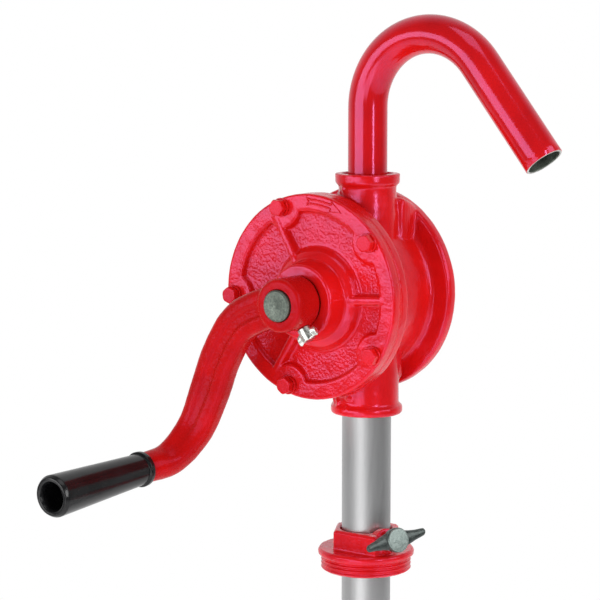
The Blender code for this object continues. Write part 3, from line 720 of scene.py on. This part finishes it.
def make_gasket():
    """The gasket's edge is painted over with the rest of the pump."""
    front_y, middle_y, rear_y = -30.9, -29.45, -28.0
    bm = bmesh.new()
    section = (
        (BORE_R + 1, front_y),
        (FLANGE_R - 0.2, front_y),
        (FLANGE_R - 0.1, middle_y),
        (FLANGE_R - 0.2, rear_y),
        (BORE_R + 1, rear_y),
    )
    revolve(bm, section, PUMP_FRAME, 160, True)
    gasket = piece("gasket_ring", bm)
    finish_piece(gasket, LOOKS["fastener"], "pump", ["cover_gasket"], 40)


def make_arrow():
    """Raised outline of an arrow on the cover's rim, which shows the way to turn."""
    def spot(angle, radius):
        return around_pump(angle, radius, COVER_FRONT_Y + 0.05)

    mid, half_shaft = 61.9, 1.3
    tail, neck, tip = 88.6, 73.5, 65.2
    outline = [spot(angle, mid + half_shaft) for angle in np.linspace(tail, neck, 10)]
    outline += [spot(neck, mid + 3.1), spot(tip, mid - 0.4), spot(neck, mid - 3.3)]
    outline += [spot(angle, mid - half_shaft) for angle in np.linspace(neck, tail, 10)]
    outline += [spot(tail + 2.6, mid - 2.6), spot(tail + 1.4, mid), spot(tail + 2.6, mid + 2.6)]
    curve = bpy.data.curves.new("cover_arrow", "CURVE")
    curve.dimensions = "3D"
    line = curve.splines.new("POLY")
    line.points.add(len(outline) - 1)
    for point, place in zip(line.points, outline):
        point.co = (*(place * MM), 1)
    line.use_cyclic_u = True
    curve.bevel_depth = 0.75 * MM
    curve.bevel_resolution = 3
    made = bpy.data.objects.new("cover_arrow", curve)
    bpy.context.scene.collection.objects.link(made)
    settled = bpy.data.meshes.new_from_object(made)
    bpy.data.objects.remove(made)
    arrow = bpy.data.objects.new("cover_arrow", settled)
    bpy.context.scene.collection.objects.link(arrow)
    finish_piece(arrow, LOOKS["fastener"], "pump", [])


def hex_head(bm, flats, low, high, place):
    """Hexagon head whose outer corners are turned off, from low to high along the frame."""
    def radius(turn, cap):
        local = (turn + math.pi / 6) % (math.pi / 3) - math.pi / 6
        return min(flats / 2 / math.cos(local), cap)

    chamfer, trim = 0.9, 0.7
    corner = flats / 2 / math.cos(math.pi / 6)
    up = 1 if high > low else -1
    levels = [(low, corner), (high - up * chamfer, corner)]
    for i in range(1, 5):
        levels.append((high - up * chamfer * (1 - i / 4), corner - trim * i / 4))
    levels.append((high + up * 0.08, flats / 2 - trim))
    stations = []
    for height, cap in levels:
        ring = []
        for turn in circle_of(72):
            r = radius(turn, cap)
            ring.append(place @ Vector((r * math.cos(turn), r * math.sin(turn), height)))
        stations.append(ring)
    loft(bm, stations)


def make_bolts():
    head_y = COVER_FRONT_Y - 2.0
    shank_r, shank_end_y = 2.9, -21.5
    washer_bore_r, washer_r, washer_back_y = 3.4, 6.2, head_y + 1.7
    washer_section = (
        (washer_bore_r, head_y + 0.3),
        (washer_r - 0.3, head_y + 0.3),
        (washer_r, head_y + 0.8),
        (washer_r, washer_back_y),
        (washer_bore_r, washer_back_y),
    )
    shank = ((0, head_y - 1), (shank_r, head_y - 1), (shank_r, shank_end_y), (0, shank_end_y))
    for number, angle in enumerate(BOLT_ANGLES, 1):
        spot = around_pump(angle, BOLT_CIRCLE_R)
        place = along(spot, Y_AXIS) @ Matrix.Rotation(math.radians(17 * number), 4, "Z")
        bm = bmesh.new()
        hex_head(bm, 10.0, head_y, head_y - 4.3, place)
        revolve(bm, shank, place, 32)
        bolt = piece(f"bolt_head_{number}", bm)
        fuse(bolt, 0.25, 1)
        finish_piece(bolt, LOOKS["fastener"], "pump", [f"cover_bolt_{number}"])
        bm = bmesh.new()
        revolve(bm, washer_section, place, 48, True)
        washer = piece(f"bolt_ring_{number}", bm)
        finish_piece(washer, LOOKS["fastener"], "pump", [f"bolt_washer_{number}"], 40)


def arm_section(spot, across, front, t):
    """Ring of the crank arm's skin at t of its length: a grooved bar that ends round."""
    late = max(0.0, (t - 0.55) / 0.45)
    wide = ARM_HALF_WIDE + (ARM_END_R - ARM_HALF_WIDE) * late
    deep = ARM_HALF_DEEP + (ARM_END_R - ARM_HALF_DEEP) * late
    fade = max(0.0, min(1.0, (0.84 - t) / 0.34))
    groove_depth = 3.2 * min(1.0, max(0.0, t - 0.05) / 0.08) * fade
    # The section is a superellipse whose power falls from 3.8 to that of a circle.
    power = 2 / (3.8 - 1.8 * late)
    ring = []
    for turn in circle_of(64, 0.5):
        x = math.copysign(abs(math.cos(turn)) ** power, math.cos(turn)) * wide
        y = math.copysign(abs(math.sin(turn)) ** power, math.sin(turn)) * deep
        if y > 0:
            y -= groove_depth * math.exp(-((x / (0.26 * wide)) ** 4))
        ring.append(spot + across * x + front * y)
    return ring


def make_arm():
    # The arm's middle line, from the shaft's axis out to the grip.
    knots = [
        Vector((0, ARM_Y, 0)),
        Vector((-21.3, ARM_Y, -6.2)),
        Vector((-38.6, ARM_Y, -16.6)),
        Vector((-52.9, ARM_Y, -38.6)),
        Vector((-63.3, ARM_Y, -63.8)),
        Vector((-72.5, ARM_Y - 3.5, -87.8)),
        Vector((-82, ARM_Y - 17, -106)),
        GRIP_SPOT - GRIP_WAY * 0.3 - SHAFT_CENTRE,
    ]
    path = spline(knots, 12)
    last = len(path) - 1
    front = -Y_AXIS
    stations = []
    for i, spot in enumerate(path):
        ahead = GRIP_WAY.copy() if i == last else path[i + 1] - path[max(i - 1, 0)]
        ahead.normalize()
        front = (front - ahead * front.dot(ahead)).normalized()
        stations.append(arm_section(SHAFT_CENTRE + spot, ahead.cross(front), front, i / last))
    bm = bmesh.new()
    loft(bm, stations)
    hub_front_y, hub_back_y, hub_r = -77.2, -54.7, 17.2
    hub = ((0, hub_front_y), (hub_r, hub_front_y), (hub_r - 0.2, hub_back_y), (0, hub_back_y))
    revolve(bm, rounded(hub, (3.2, 1.5)), SHAFT_FRAME, 96)
    pad_top = 17.9
    pad = ((0, 10), (6.4, 10), (5.4, pad_top), (0, pad_top))
    revolve(bm, rounded(pad, (0, 1.2)), CRANK_SCREW_FRAME, 40)
    arm = piece("crank_casting", bm)
    fuse(arm, 0.65, 3)
    eye_r, mouth_r = 10.15, 11.3
    shaft_eye = (
        (0, -90),
        (mouth_r, -90),
        (mouth_r, -77.8),
        (eye_r, -76.4),
        (eye_r, -40),
        (0, -40),
    )
    bore(arm, shaft_eye, SHAFT_FRAME, 96)
    bore(arm, ((0, 0), (3.2, 0), (3.2, 25), (0, 25)), CRANK_SCREW_FRAME, 32)
    bore(arm, ((0, -16), (6.0, -16), (6.0, 5), (0, 5)), GRIP_FRAME, 48)
    ripple(arm, 9, 0.14, 5.2)

    def rule(spot, normal):
        if math.hypot(spot.x - SHAFT_X, spot.z - SHAFT_Z) < 18:
            return 0.25
        return 0.25 + 0.5 * max(0.0, -normal.y) * min(1.0, max(0.0, (spot.z - 60) / 50))

    set_grain_and_painted_light(arm, rule)
    finish_piece(arm, LOOKS["arm"], "crank", ["crank_arm"], 50)


def make_shaft():
    front_y, back_y, shaft_r = -79.4, 28.6, 10
    # A lathe's centre mark in the middle, and a turned-off edge.
    bar = (
        (0, front_y + 0.4),
        (0.7, front_y + 0.2),
        (1.1, front_y),
        (9.1, front_y),
        (shaft_r, front_y + 0.9),
        (shaft_r, back_y),
        (0, back_y),
    )
    bm = bmesh.new()
    revolve(bm, bar, SHAFT_FRAME, 96)
    shaft = piece("shaft_bar", bm)
    floor, half_key = 7.3, 2.8
    keyway = ((floor, -half_key), (13, -half_key), (13, half_key), (floor, half_key))
    slot = bmesh.new()
    prism(slot, keyway, -16.3, 10.3, SHAFT_FRAME)
    carve(shaft, slot)
    finish_piece(shaft, LOOKS["shaft"], "crank", ["rotor_shaft"], 30)


def wings(bm, place, sections, count):
    """A wing to each side: reach, lean, half width, half height and lift of each section."""
    for side in (1, -1):
        stations = []
        for reach, lean, wide, tall, lift in sections:
            ring = []
            for turn in circle_of(count):
                y = side * lean + wide * math.sin(turn)
                ring.append(place @ Vector((side * reach, y, lift + tall * math.cos(turn))))
            stations.append(ring)
        loft(bm, stations)


def make_crank_screw():
    shank_r, tip = 2.9, 10.6
    hub_r, hub_low, hub_top = 4.3, 18.2, 27.0
    half_thick = 1.45
    bm = bmesh.new()
    shank = ((0, tip), (shank_r, tip), (shank_r, 20), (0, 20))
    revolve(bm, shank, CRANK_SCREW_FRAME, 32)
    hub = ((0, hub_low), (hub_r, hub_low), (hub_r, hub_top), (0, hub_top))
    revolve(bm, rounded(hub, (0.6, 1.0)), CRANK_SCREW_FRAME, 48)
    sections = (
        (1.0, 0, half_thick, 3.4, 22.2),
        (4.0, 0, half_thick, 3.4, 22.8),
        (7.2, 0, half_thick, 3.3, 23.9),
        (8.0, 0, half_thick, 2.6, 24.2),
    )
    wings(bm, CRANK_SCREW_FRAME, sections, 16)
    screw = piece("crank_thumb_screw", bm)
    fuse(screw, 0.25, 2)
    finish_piece(screw, LOOKS["zinc"], "crank_screw", ["crank_wing_screw"])


def make_grip_pin():
    pin_r, foot, tip = 5.7, -15.5, 50.4
    bm = bmesh.new()
    pin = ((0, foot), (pin_r, foot), (pin_r, tip), (0, tip))
    revolve(bm, rounded(pin, (0.5, 1.0)), GRIP_FRAME, 48)
    finish_piece(piece("grip_pin", bm), LOOKS["zinc"], "crank", ["grip_spindle"], 40)


def make_grip():
    """Hollow sleeve: a narrow bore for the pin, then a wide one out to the open end."""
    long, pin_bore_r, open_bore_r, shoulder = 87.0, 6.3, 8.7, 45.5
    sleeve = (
        (pin_bore_r, shoulder),
        (pin_bore_r, 0.3),
        (11.5, 0.3),
        (11.7, 4.2),
        (10.3, 5.0),
        (10.5, 8.0),
        (13.4, long - 5.5),
        (13.5, long - 2.6),
        (12.2, long - 0.3),
        (10.9, long),
        (9.7, long - 0.6),
        (8.9, long - 2.4),
        (open_bore_r, shoulder + 1.0),
        (open_bore_r, shoulder),
    )
    radii = (0, 1.2, 1.0, 0.5, 2, 6, 1.6, 1.2, 0.9, 1.0, 1.2, 0)
    bm = bmesh.new()
    revolve(bm, rounded(sleeve, radii), GRIP_FRAME, 96, True)
    grip = piece("grip_sleeve", bm)
    finish_piece(grip, LOOKS["grip"], "grip", ["grip"], 40)


def spout_path(turn):
    """Spots of the spout's middle line with the turn at each: up, round and down."""
    foot, bend_z, bend_r, straight = NECK_TOP_Z - 22.0, NECK_TOP_Z + 43.2, 47.5, 75.2
    spots = [(Vector((0, 0, foot + (bend_z - foot) * i / 12)), 0.0) for i in range(12)]
    for i in range(49):
        angle = turn * i / 48
        x = bend_r * (1 - math.cos(angle))
        spots.append((Vector((x, 0, bend_z + bend_r * math.sin(angle))), angle))
    way = Vector((math.sin(turn), 0, math.cos(turn)))
    start = spots[-1][0]
    for i in range(1, 16):
        spots.append((start + way * straight * i / 15, turn))
    return spots, way, start + way * (straight + 0.3)


def make_spout():
    turn = math.radians(141.4)
    spots, way, end = spout_path(turn)
    sides = 96

    def ring(spot, angle, radius, flat=0.0):
        side = Vector((math.cos(angle), 0, -math.sin(angle)))
        made = []
        for roll in circle_of(sides):
            across = side * math.cos(roll) * (1 - flat) + Y_AXIS * math.sin(roll) * (1 + 0.35 * flat)
            made.append(spot + across * radius)
        return made

    def flatness(angle):
        """A tube drawn round a bend flattens a little."""
        return 0.035 * math.sin(math.pi * angle / turn) if 0 < angle < turn else 0.0

    painted, cut_edge, raw_bore, edge = 0, 1, 2, 0.35
    rings = [(ring(spot, angle, SPOUT_R, flatness(angle)), painted) for spot, angle in spots]
    rings.append((ring(end, turn, SPOUT_R - edge), painted))
    rings.append((ring(end, turn, SPOUT_BORE_R + edge), cut_edge))
    rings.append((ring(end - way * 0.5, turn, SPOUT_BORE_R), raw_bore))
    for spot, angle in spots[::-1]:
        inner = spot - way * 0.6 if angle == turn else spot
        rings.append((ring(inner, angle, SPOUT_BORE_R, flatness(angle)), raw_bore))
    bm = bmesh.new()
    verts = [[bm.verts.new(spot) for spot in points] for points, _ in rings]
    for i, (low, high) in enumerate(zip(verts, verts[1:] + verts[:1])):
        look_number = rings[(i + 1) % len(rings)][1]
        for k in range(sides):
            j = (k + 1) % sides
            face = bm.faces.new((low[k], low[j], high[j], high[k]))
            face.material_index = look_number
    bmesh.ops.recalc_face_normals(bm, faces=bm.faces)
    spout = piece("spout_bend", bm)
    for look in ("smooth", "rim", "bore"):
        spout.data.materials.append(LOOKS[look])
    finish_piece(spout, None, "spout", ["spout_pipe"], 50)


TUBE_ENDS_Z = (116.8, -206.0, -522.0, -846.0)


def make_tubes():
    for name, top, low in zip(("upper", "middle", "lower"), TUBE_ENDS_Z, TUBE_ENDS_Z[1:]):
        wall = (
            (TUBE_BORE_R, low + 0.2),
            (TUBE_R - 0.4, low + 0.2),
            (TUBE_R, low + 0.6),
            (TUBE_R, top - 0.6),
            (TUBE_R - 0.4, top - 0.2),
            (TUBE_BORE_R, top - 0.2),
        )
        bm = bmesh.new()
        revolve(bm, wall, TUBE_FRAME, 128, True)
        tube = piece(f"tube_{name}", bm)
        finish_piece(tube, LOOKS["tube"], "pump", [f"suction_tube_{name}"], 40)


def make_couplings():
    """A sleeve with five turned rings over each joint between two tubes."""
    inner_r, chamfer_r, ring_r, half = TUBE_R + 0.3, COUPLING_R - 1.0, COUPLING_R - 0.5, 17
    for number, middle in enumerate(TUBE_ENDS_Z[1:3], 1):
        sleeve = [(inner_r, middle - half), (chamfer_r, middle - half), (COUPLING_R, middle - 15.6)]
        for k in range(5):
            z = middle - 12 + 6 * k
            sleeve += [(COUPLING_R, z - 1.6), (ring_r, z - 1.0)]
            sleeve += [(ring_r, z + 1.0), (COUPLING_R, z + 1.6)]
        sleeve += [(COUPLING_R, middle + 15.6), (chamfer_r, middle + half), (inner_r, middle + half)]
        bm = bmesh.new()
        revolve(bm, sleeve, TUBE_FRAME, 96, True)
        coupling = piece(f"coupling_sleeve_{number}", bm)
        finish_piece(coupling, LOOKS["tube"], "pump", [f"tube_coupling_{number}"], 30)


def make_strainer():
    """Cup on the lowest tube's end, with three slots right through it."""
    foot_z, top_z, inner_r = -862.0, -832, TUBE_R + 0.3
    cup = (
        (0, foot_z),
        (COUPLING_R, foot_z),
        (COUPLING_R, top_z),
        (inner_r, top_z),
        (inner_r, foot_z + 2.5),
        (0, foot_z + 2.5),
    )
    bm = bmesh.new()
    revolve(bm, rounded(cup, (1.6, 1.0, 0.3, 0.5)), TUBE_FRAME, 96)
    strainer = piece("strainer_cup", bm)
    slot_r, slot_top_z, slot_low_z = 2.5, -850.5, -855.0
    outline = []
    for middle_z, start in ((slot_top_z, 0), (slot_low_z, 180)):
        for i in range(9):
            angle = math.radians(start + 180 * i / 8)
            outline.append((slot_r * math.cos(angle), middle_z + slot_r * math.sin(angle)))
    for turn in (0, 60, 120):
        way = Vector((math.cos(math.radians(turn)), math.sin(math.radians(turn)), 0))
        slot = bmesh.new()
        prism(slot, outline, -30, 30, along((0, 0, 0), way))
        carve(strainer, slot)
    finish_piece(strainer, LOOKS["foot"], "pump", ["foot_strainer"], 30)


def make_bung():
    thread_low_z, turns = -10.6, 4
    pitch = -thread_low_z / turns
    profile = [(0, thread_low_z), (27.6, thread_low_z)]
    for i in range(turns):
        low = thread_low_z + i * pitch
        profile += [(28.3, low + 0.15 * pitch), (29.75, low + 0.5 * pitch)]
        profile += [(29.8, low + 0.72 * pitch), (28.5, low + 0.98 * pitch)]
    flange_top_z = 4.0
    profile += [(28.8, 0.0), (31.6, 0.0), (31.75, 2.4), (30.6, flange_top_z), (0, flange_top_z)]
    bm = bmesh.new()
    revolve(bm, profile, TUBE_FRAME, 160)
    # The hexagon's sixth corner is drawn out to carry the clamp screw.
    half_flats, top_shrink = 20.5, 0.93
    corner = half_flats / math.cos(math.pi / 6)
    outline = []
    for i in range(5):
        angle = math.radians(60 * i)
        outline.append((corner * math.cos(angle), corner * math.sin(angle)))
    outline += [(21.5, -half_flats), (25.5, -9.0)]
    inner = [(x * top_shrink, y * top_shrink) for x, y in outline]
    levels = ((outline, 2.5), (outline, 15.5), (inner, 17.0))
    loft(bm, [[Vector((x, y, z)) for x, y in ring] for ring, z in levels])
    boss = ((0, 18), (8.6, 18), (8.2, 27.5), (0, 27.5))
    revolve(bm, rounded(boss, (0, 1.0)), CLAMP_FRAME, 48)
    bung = piece("bung_casting", bm)
    fuse(bung, 0.5, 2)
    tube_r, low_mouth_r, top_mouth_r = 17, 18.6, 18.2
    tube_way = (
        (0, -20),
        (low_mouth_r, -20),
        (low_mouth_r, -11.2),
        (tube_r, -9.6),
        (tube_r, 16.0),
        (top_mouth_r, 17.4),
        (top_mouth_r, 25),
        (0, 25),
    )
    bore(bung, tube_way, TUBE_FRAME, 96)
    bore(bung, ((0, 0), (4.2, 0), (4.2, 33), (0, 33)), CLAMP_FRAME, 32)
    ripple(bung, 8, 0.10, 1.7)
    set_grain_and_painted_light(bung, lambda spot, normal: 0.6 if spot.z > 3.5 else 0.25)
    finish_piece(bung, LOOKS["cast"], "bung", ["bung_adaptor"], 50)


def make_bung_screw():
    shank_r, head_z = 3.9, 32.8
    bm = bmesh.new()
    revolve(bm, ((0, 18.0), (shank_r, 18.0), (shank_r, 34), (0, 34)), CLAMP_FRAME, 32)
    head = ((0, head_z), (6.6, head_z), (7.5, 34.5), (8.1, 38.0), (8.1, 40.6), (7.2, 41.7), (0, 42.0))
    revolve(bm, rounded(head, (1, 1, 1.5, 1.0, 0.8)), CLAMP_FRAME, 64)
    sections = (
        (0.0, 0.0, 6.6, 3.0, 36.6),
        (5.0, 0.1, 6.0, 2.9, 36.8),
        (10.0, 0.7, 4.6, 2.5, 37.2),
        (15.0, 1.7, 3.4, 2.1, 37.6),
        (19.5, 2.6, 2.7, 1.9, 38.0),
        (21.6, 3.0, 2.3, 1.7, 38.1),
        (22.6, 3.1, 1.2, 1.0, 38.1),
    )
    wings(bm, CLAMP_FRAME, sections, 24)
    screw = piece("bung_thumb_screw", bm)
    fuse(screw, 0.32, 3)
    ripple(screw, 5, 0.08, 2.2)
    to_clamp = CLAMP_FRAME.inverted()

    def lighter_end_and_painted_top_light(spot, normal):
        """The flat end of the head is made lighter, and the upward-facing sides a little, as painted
        light from above.
        """
        local = to_clamp @ spot
        on_flat_end = local.z > 41.2 and math.hypot(local.x, local.y) < 8.4
        return 1.0 if on_flat_end else 0.1 + 0.25 * max(0.0, normal.z)

    # Here the stored value lightens the colour: the flat end of the head, and the upward-facing sides as
    # painted light from above.
    set_grain_and_painted_light(screw, lighter_end_and_painted_top_light)
    finish_piece(screw, LOOKS["black_iron"], "bung_screw", ["bung_wing_screw"])


def dress_hidden_nodes():
    """Better materials on the CAD pieces that keep their own shape."""
    by_slot = {
        "red_casting": "cast",
        "red_pipe": "smooth",
        "red_fastener": "fastener",
        "shaft_steel": "shaft",
        "tube_steel": "tube",
        "zinc_steel": "zinc",
        "black_steel": "black_iron",
        "iron": "iron",
        "bronze": "bronze",
        "vane_resin": "resin",
        "black_rubber": "rubber",
        "gasket_sheet": "gasket",
        "black_plastic": "grip",
        "foot_plastic": "foot",
    }
    for part in frame["record"]["subparts"]:
        mesh = frame["nodes"][part["node"]].data
        mesh.materials.clear()
        mesh.materials.append(LOOKS[by_slot[part["material_slot"]]])


# ---------------------------------------------------------------- stage
def make_stage():
    """A round pale floor just under the foot, which glows faintly. Metres from here on."""
    floor_z, floor_r = CAD_BOX[0].z - 0.001, 2.6
    bm = bmesh.new()
    bmesh.ops.create_circle(bm, cap_ends=True, segments=128, radius=floor_r)
    bmesh.ops.translate(bm, verts=bm.verts, vec=(0, 0, floor_z))
    mesh = bpy.data.meshes.new("studio_floor")
    bm.to_mesh(mesh)
    bm.free()
    floor = bpy.data.objects.new("studio_floor", mesh)
    bpy.context.scene.collection.objects.link(floor)
    paper = Look("studio_paper", (0.9, 0.9, 0.9), 0.0, 0.9)
    paper.set(Specular_IOR_Level=0.1, Emission_Color=(1, 1, 1, 1), Emission_Strength=0.42)
    mesh.materials.append(paper.material)


def make_world():
    """White to the camera, and to all else a dim light that is stronger from behind the pump."""
    world = bpy.data.worlds.new("studio")
    bpy.context.scene.world = world
    world.use_nodes = True
    nodes, links = world.node_tree.nodes, world.node_tree.links
    glow = nodes["Background"]
    glow.inputs["Color"].default_value = (1, 1, 1, 1)
    direction = nodes.new("ShaderNodeTexCoord").outputs["Generated"]
    behind = nodes.new("ShaderNodeVectorMath")
    behind.operation = "DOT_PRODUCT"
    behind.inputs[1].default_value = (-0.6, 0.8, 0)
    links.new(direction, behind.inputs[0])
    ramp = nodes.new("ShaderNodeMapRange")
    ramp.inputs["From Min"].default_value = 0.0
    ramp.inputs["From Max"].default_value = 0.6
    ramp.inputs["To Min"].default_value = 0.14
    ramp.inputs["To Max"].default_value = 0.9
    links.new(behind.outputs["Value"], ramp.inputs["Value"])
    links.new(ramp.outputs["Result"], glow.inputs["Strength"])
    white = nodes.new("ShaderNodeBackground")
    white.inputs["Strength"].default_value = 1.0
    white.inputs["Color"].default_value = (1, 1, 1, 1)
    seen = nodes.new("ShaderNodeLightPath").outputs["Is Camera Ray"]
    both = nodes.new("ShaderNodeMixShader")
    links.new(seen, both.inputs["Fac"])
    links.new(glow.outputs["Background"], both.inputs[1])
    links.new(white.outputs["Background"], both.inputs[2])
    links.new(both.outputs["Shader"], nodes["World Output"].inputs["Surface"])


def area_light(name, azimuth, elevation, distance, width, height, power):
    """Soft box that looks at the pump's middle. Azimuth 0 is the front, and 90 the right."""
    target = Vector((-0.01, 0, 0.17))
    turn, rise = math.radians(azimuth), math.radians(elevation)
    level = math.cos(rise)
    back = Vector((math.sin(turn) * level, -math.cos(turn) * level, math.sin(rise)))
    data = bpy.data.lights.new(name, "AREA")
    data.shape = "RECTANGLE"
    data.size = width
    data.size_y = height
    data.energy = power
    lamp = bpy.data.objects.new(name, data)
    lamp.location = target + back * distance
    lamp.rotation_mode = "QUATERNION"
    lamp.rotation_quaternion = back.to_track_quat("Z", "Y")
    bpy.context.scene.collection.objects.link(lamp)


def make_lights():
    """Four wide soft boxes, and a narrow one at the right. Metres and watts."""
    area_light("soft_front_left", -19, 4.0, 1.9, width=1.9, height=0.85, power=20)
    area_light("soft_low_front", 10, -18, 2.1, width=1.1, height=0.8, power=7)
    area_light("soft_right", 68, 10.6, 1.8, width=0.22, height=1.0, power=9)
    area_light("soft_side", 100, 24, 2.2, width=1.3, height=1.3, power=17)
    area_light("soft_top", 40, 70, 2.2, width=1.2, height=1.2, power=9)


def make_camera():
    """Where the photograph was taken from, as fitted to the outlines seen in it."""
    data = bpy.data.cameras.new("camera")
    data.lens = 132.0
    data.sensor_width = 36.0
    data.clip_start = 0.05
    data.clip_end = 50
    camera = bpy.data.objects.new("camera", data)
    camera.location = (0.8161, -1.1643, 0.3635)
    camera.rotation_euler = (math.radians(82.19), 0, math.radians(36.79))
    bpy.context.scene.collection.objects.link(camera)
    bpy.context.scene.camera = camera


dress_hidden_nodes()
make_body()
make_cover()
make_gasket()
make_arrow()
make_bolts()
make_arm()
make_shaft()
make_crank_screw()
make_grip_pin()
make_grip()
make_spout()
make_tubes()
make_couplings()
make_strainer()
make_bung()
make_bung_screw()
make_stage()
make_lights()
make_world()
make_camera()
scene = bpy.context.scene
scene.view_settings.view_transform = "Standard"
scene.view_settings.look = "None"
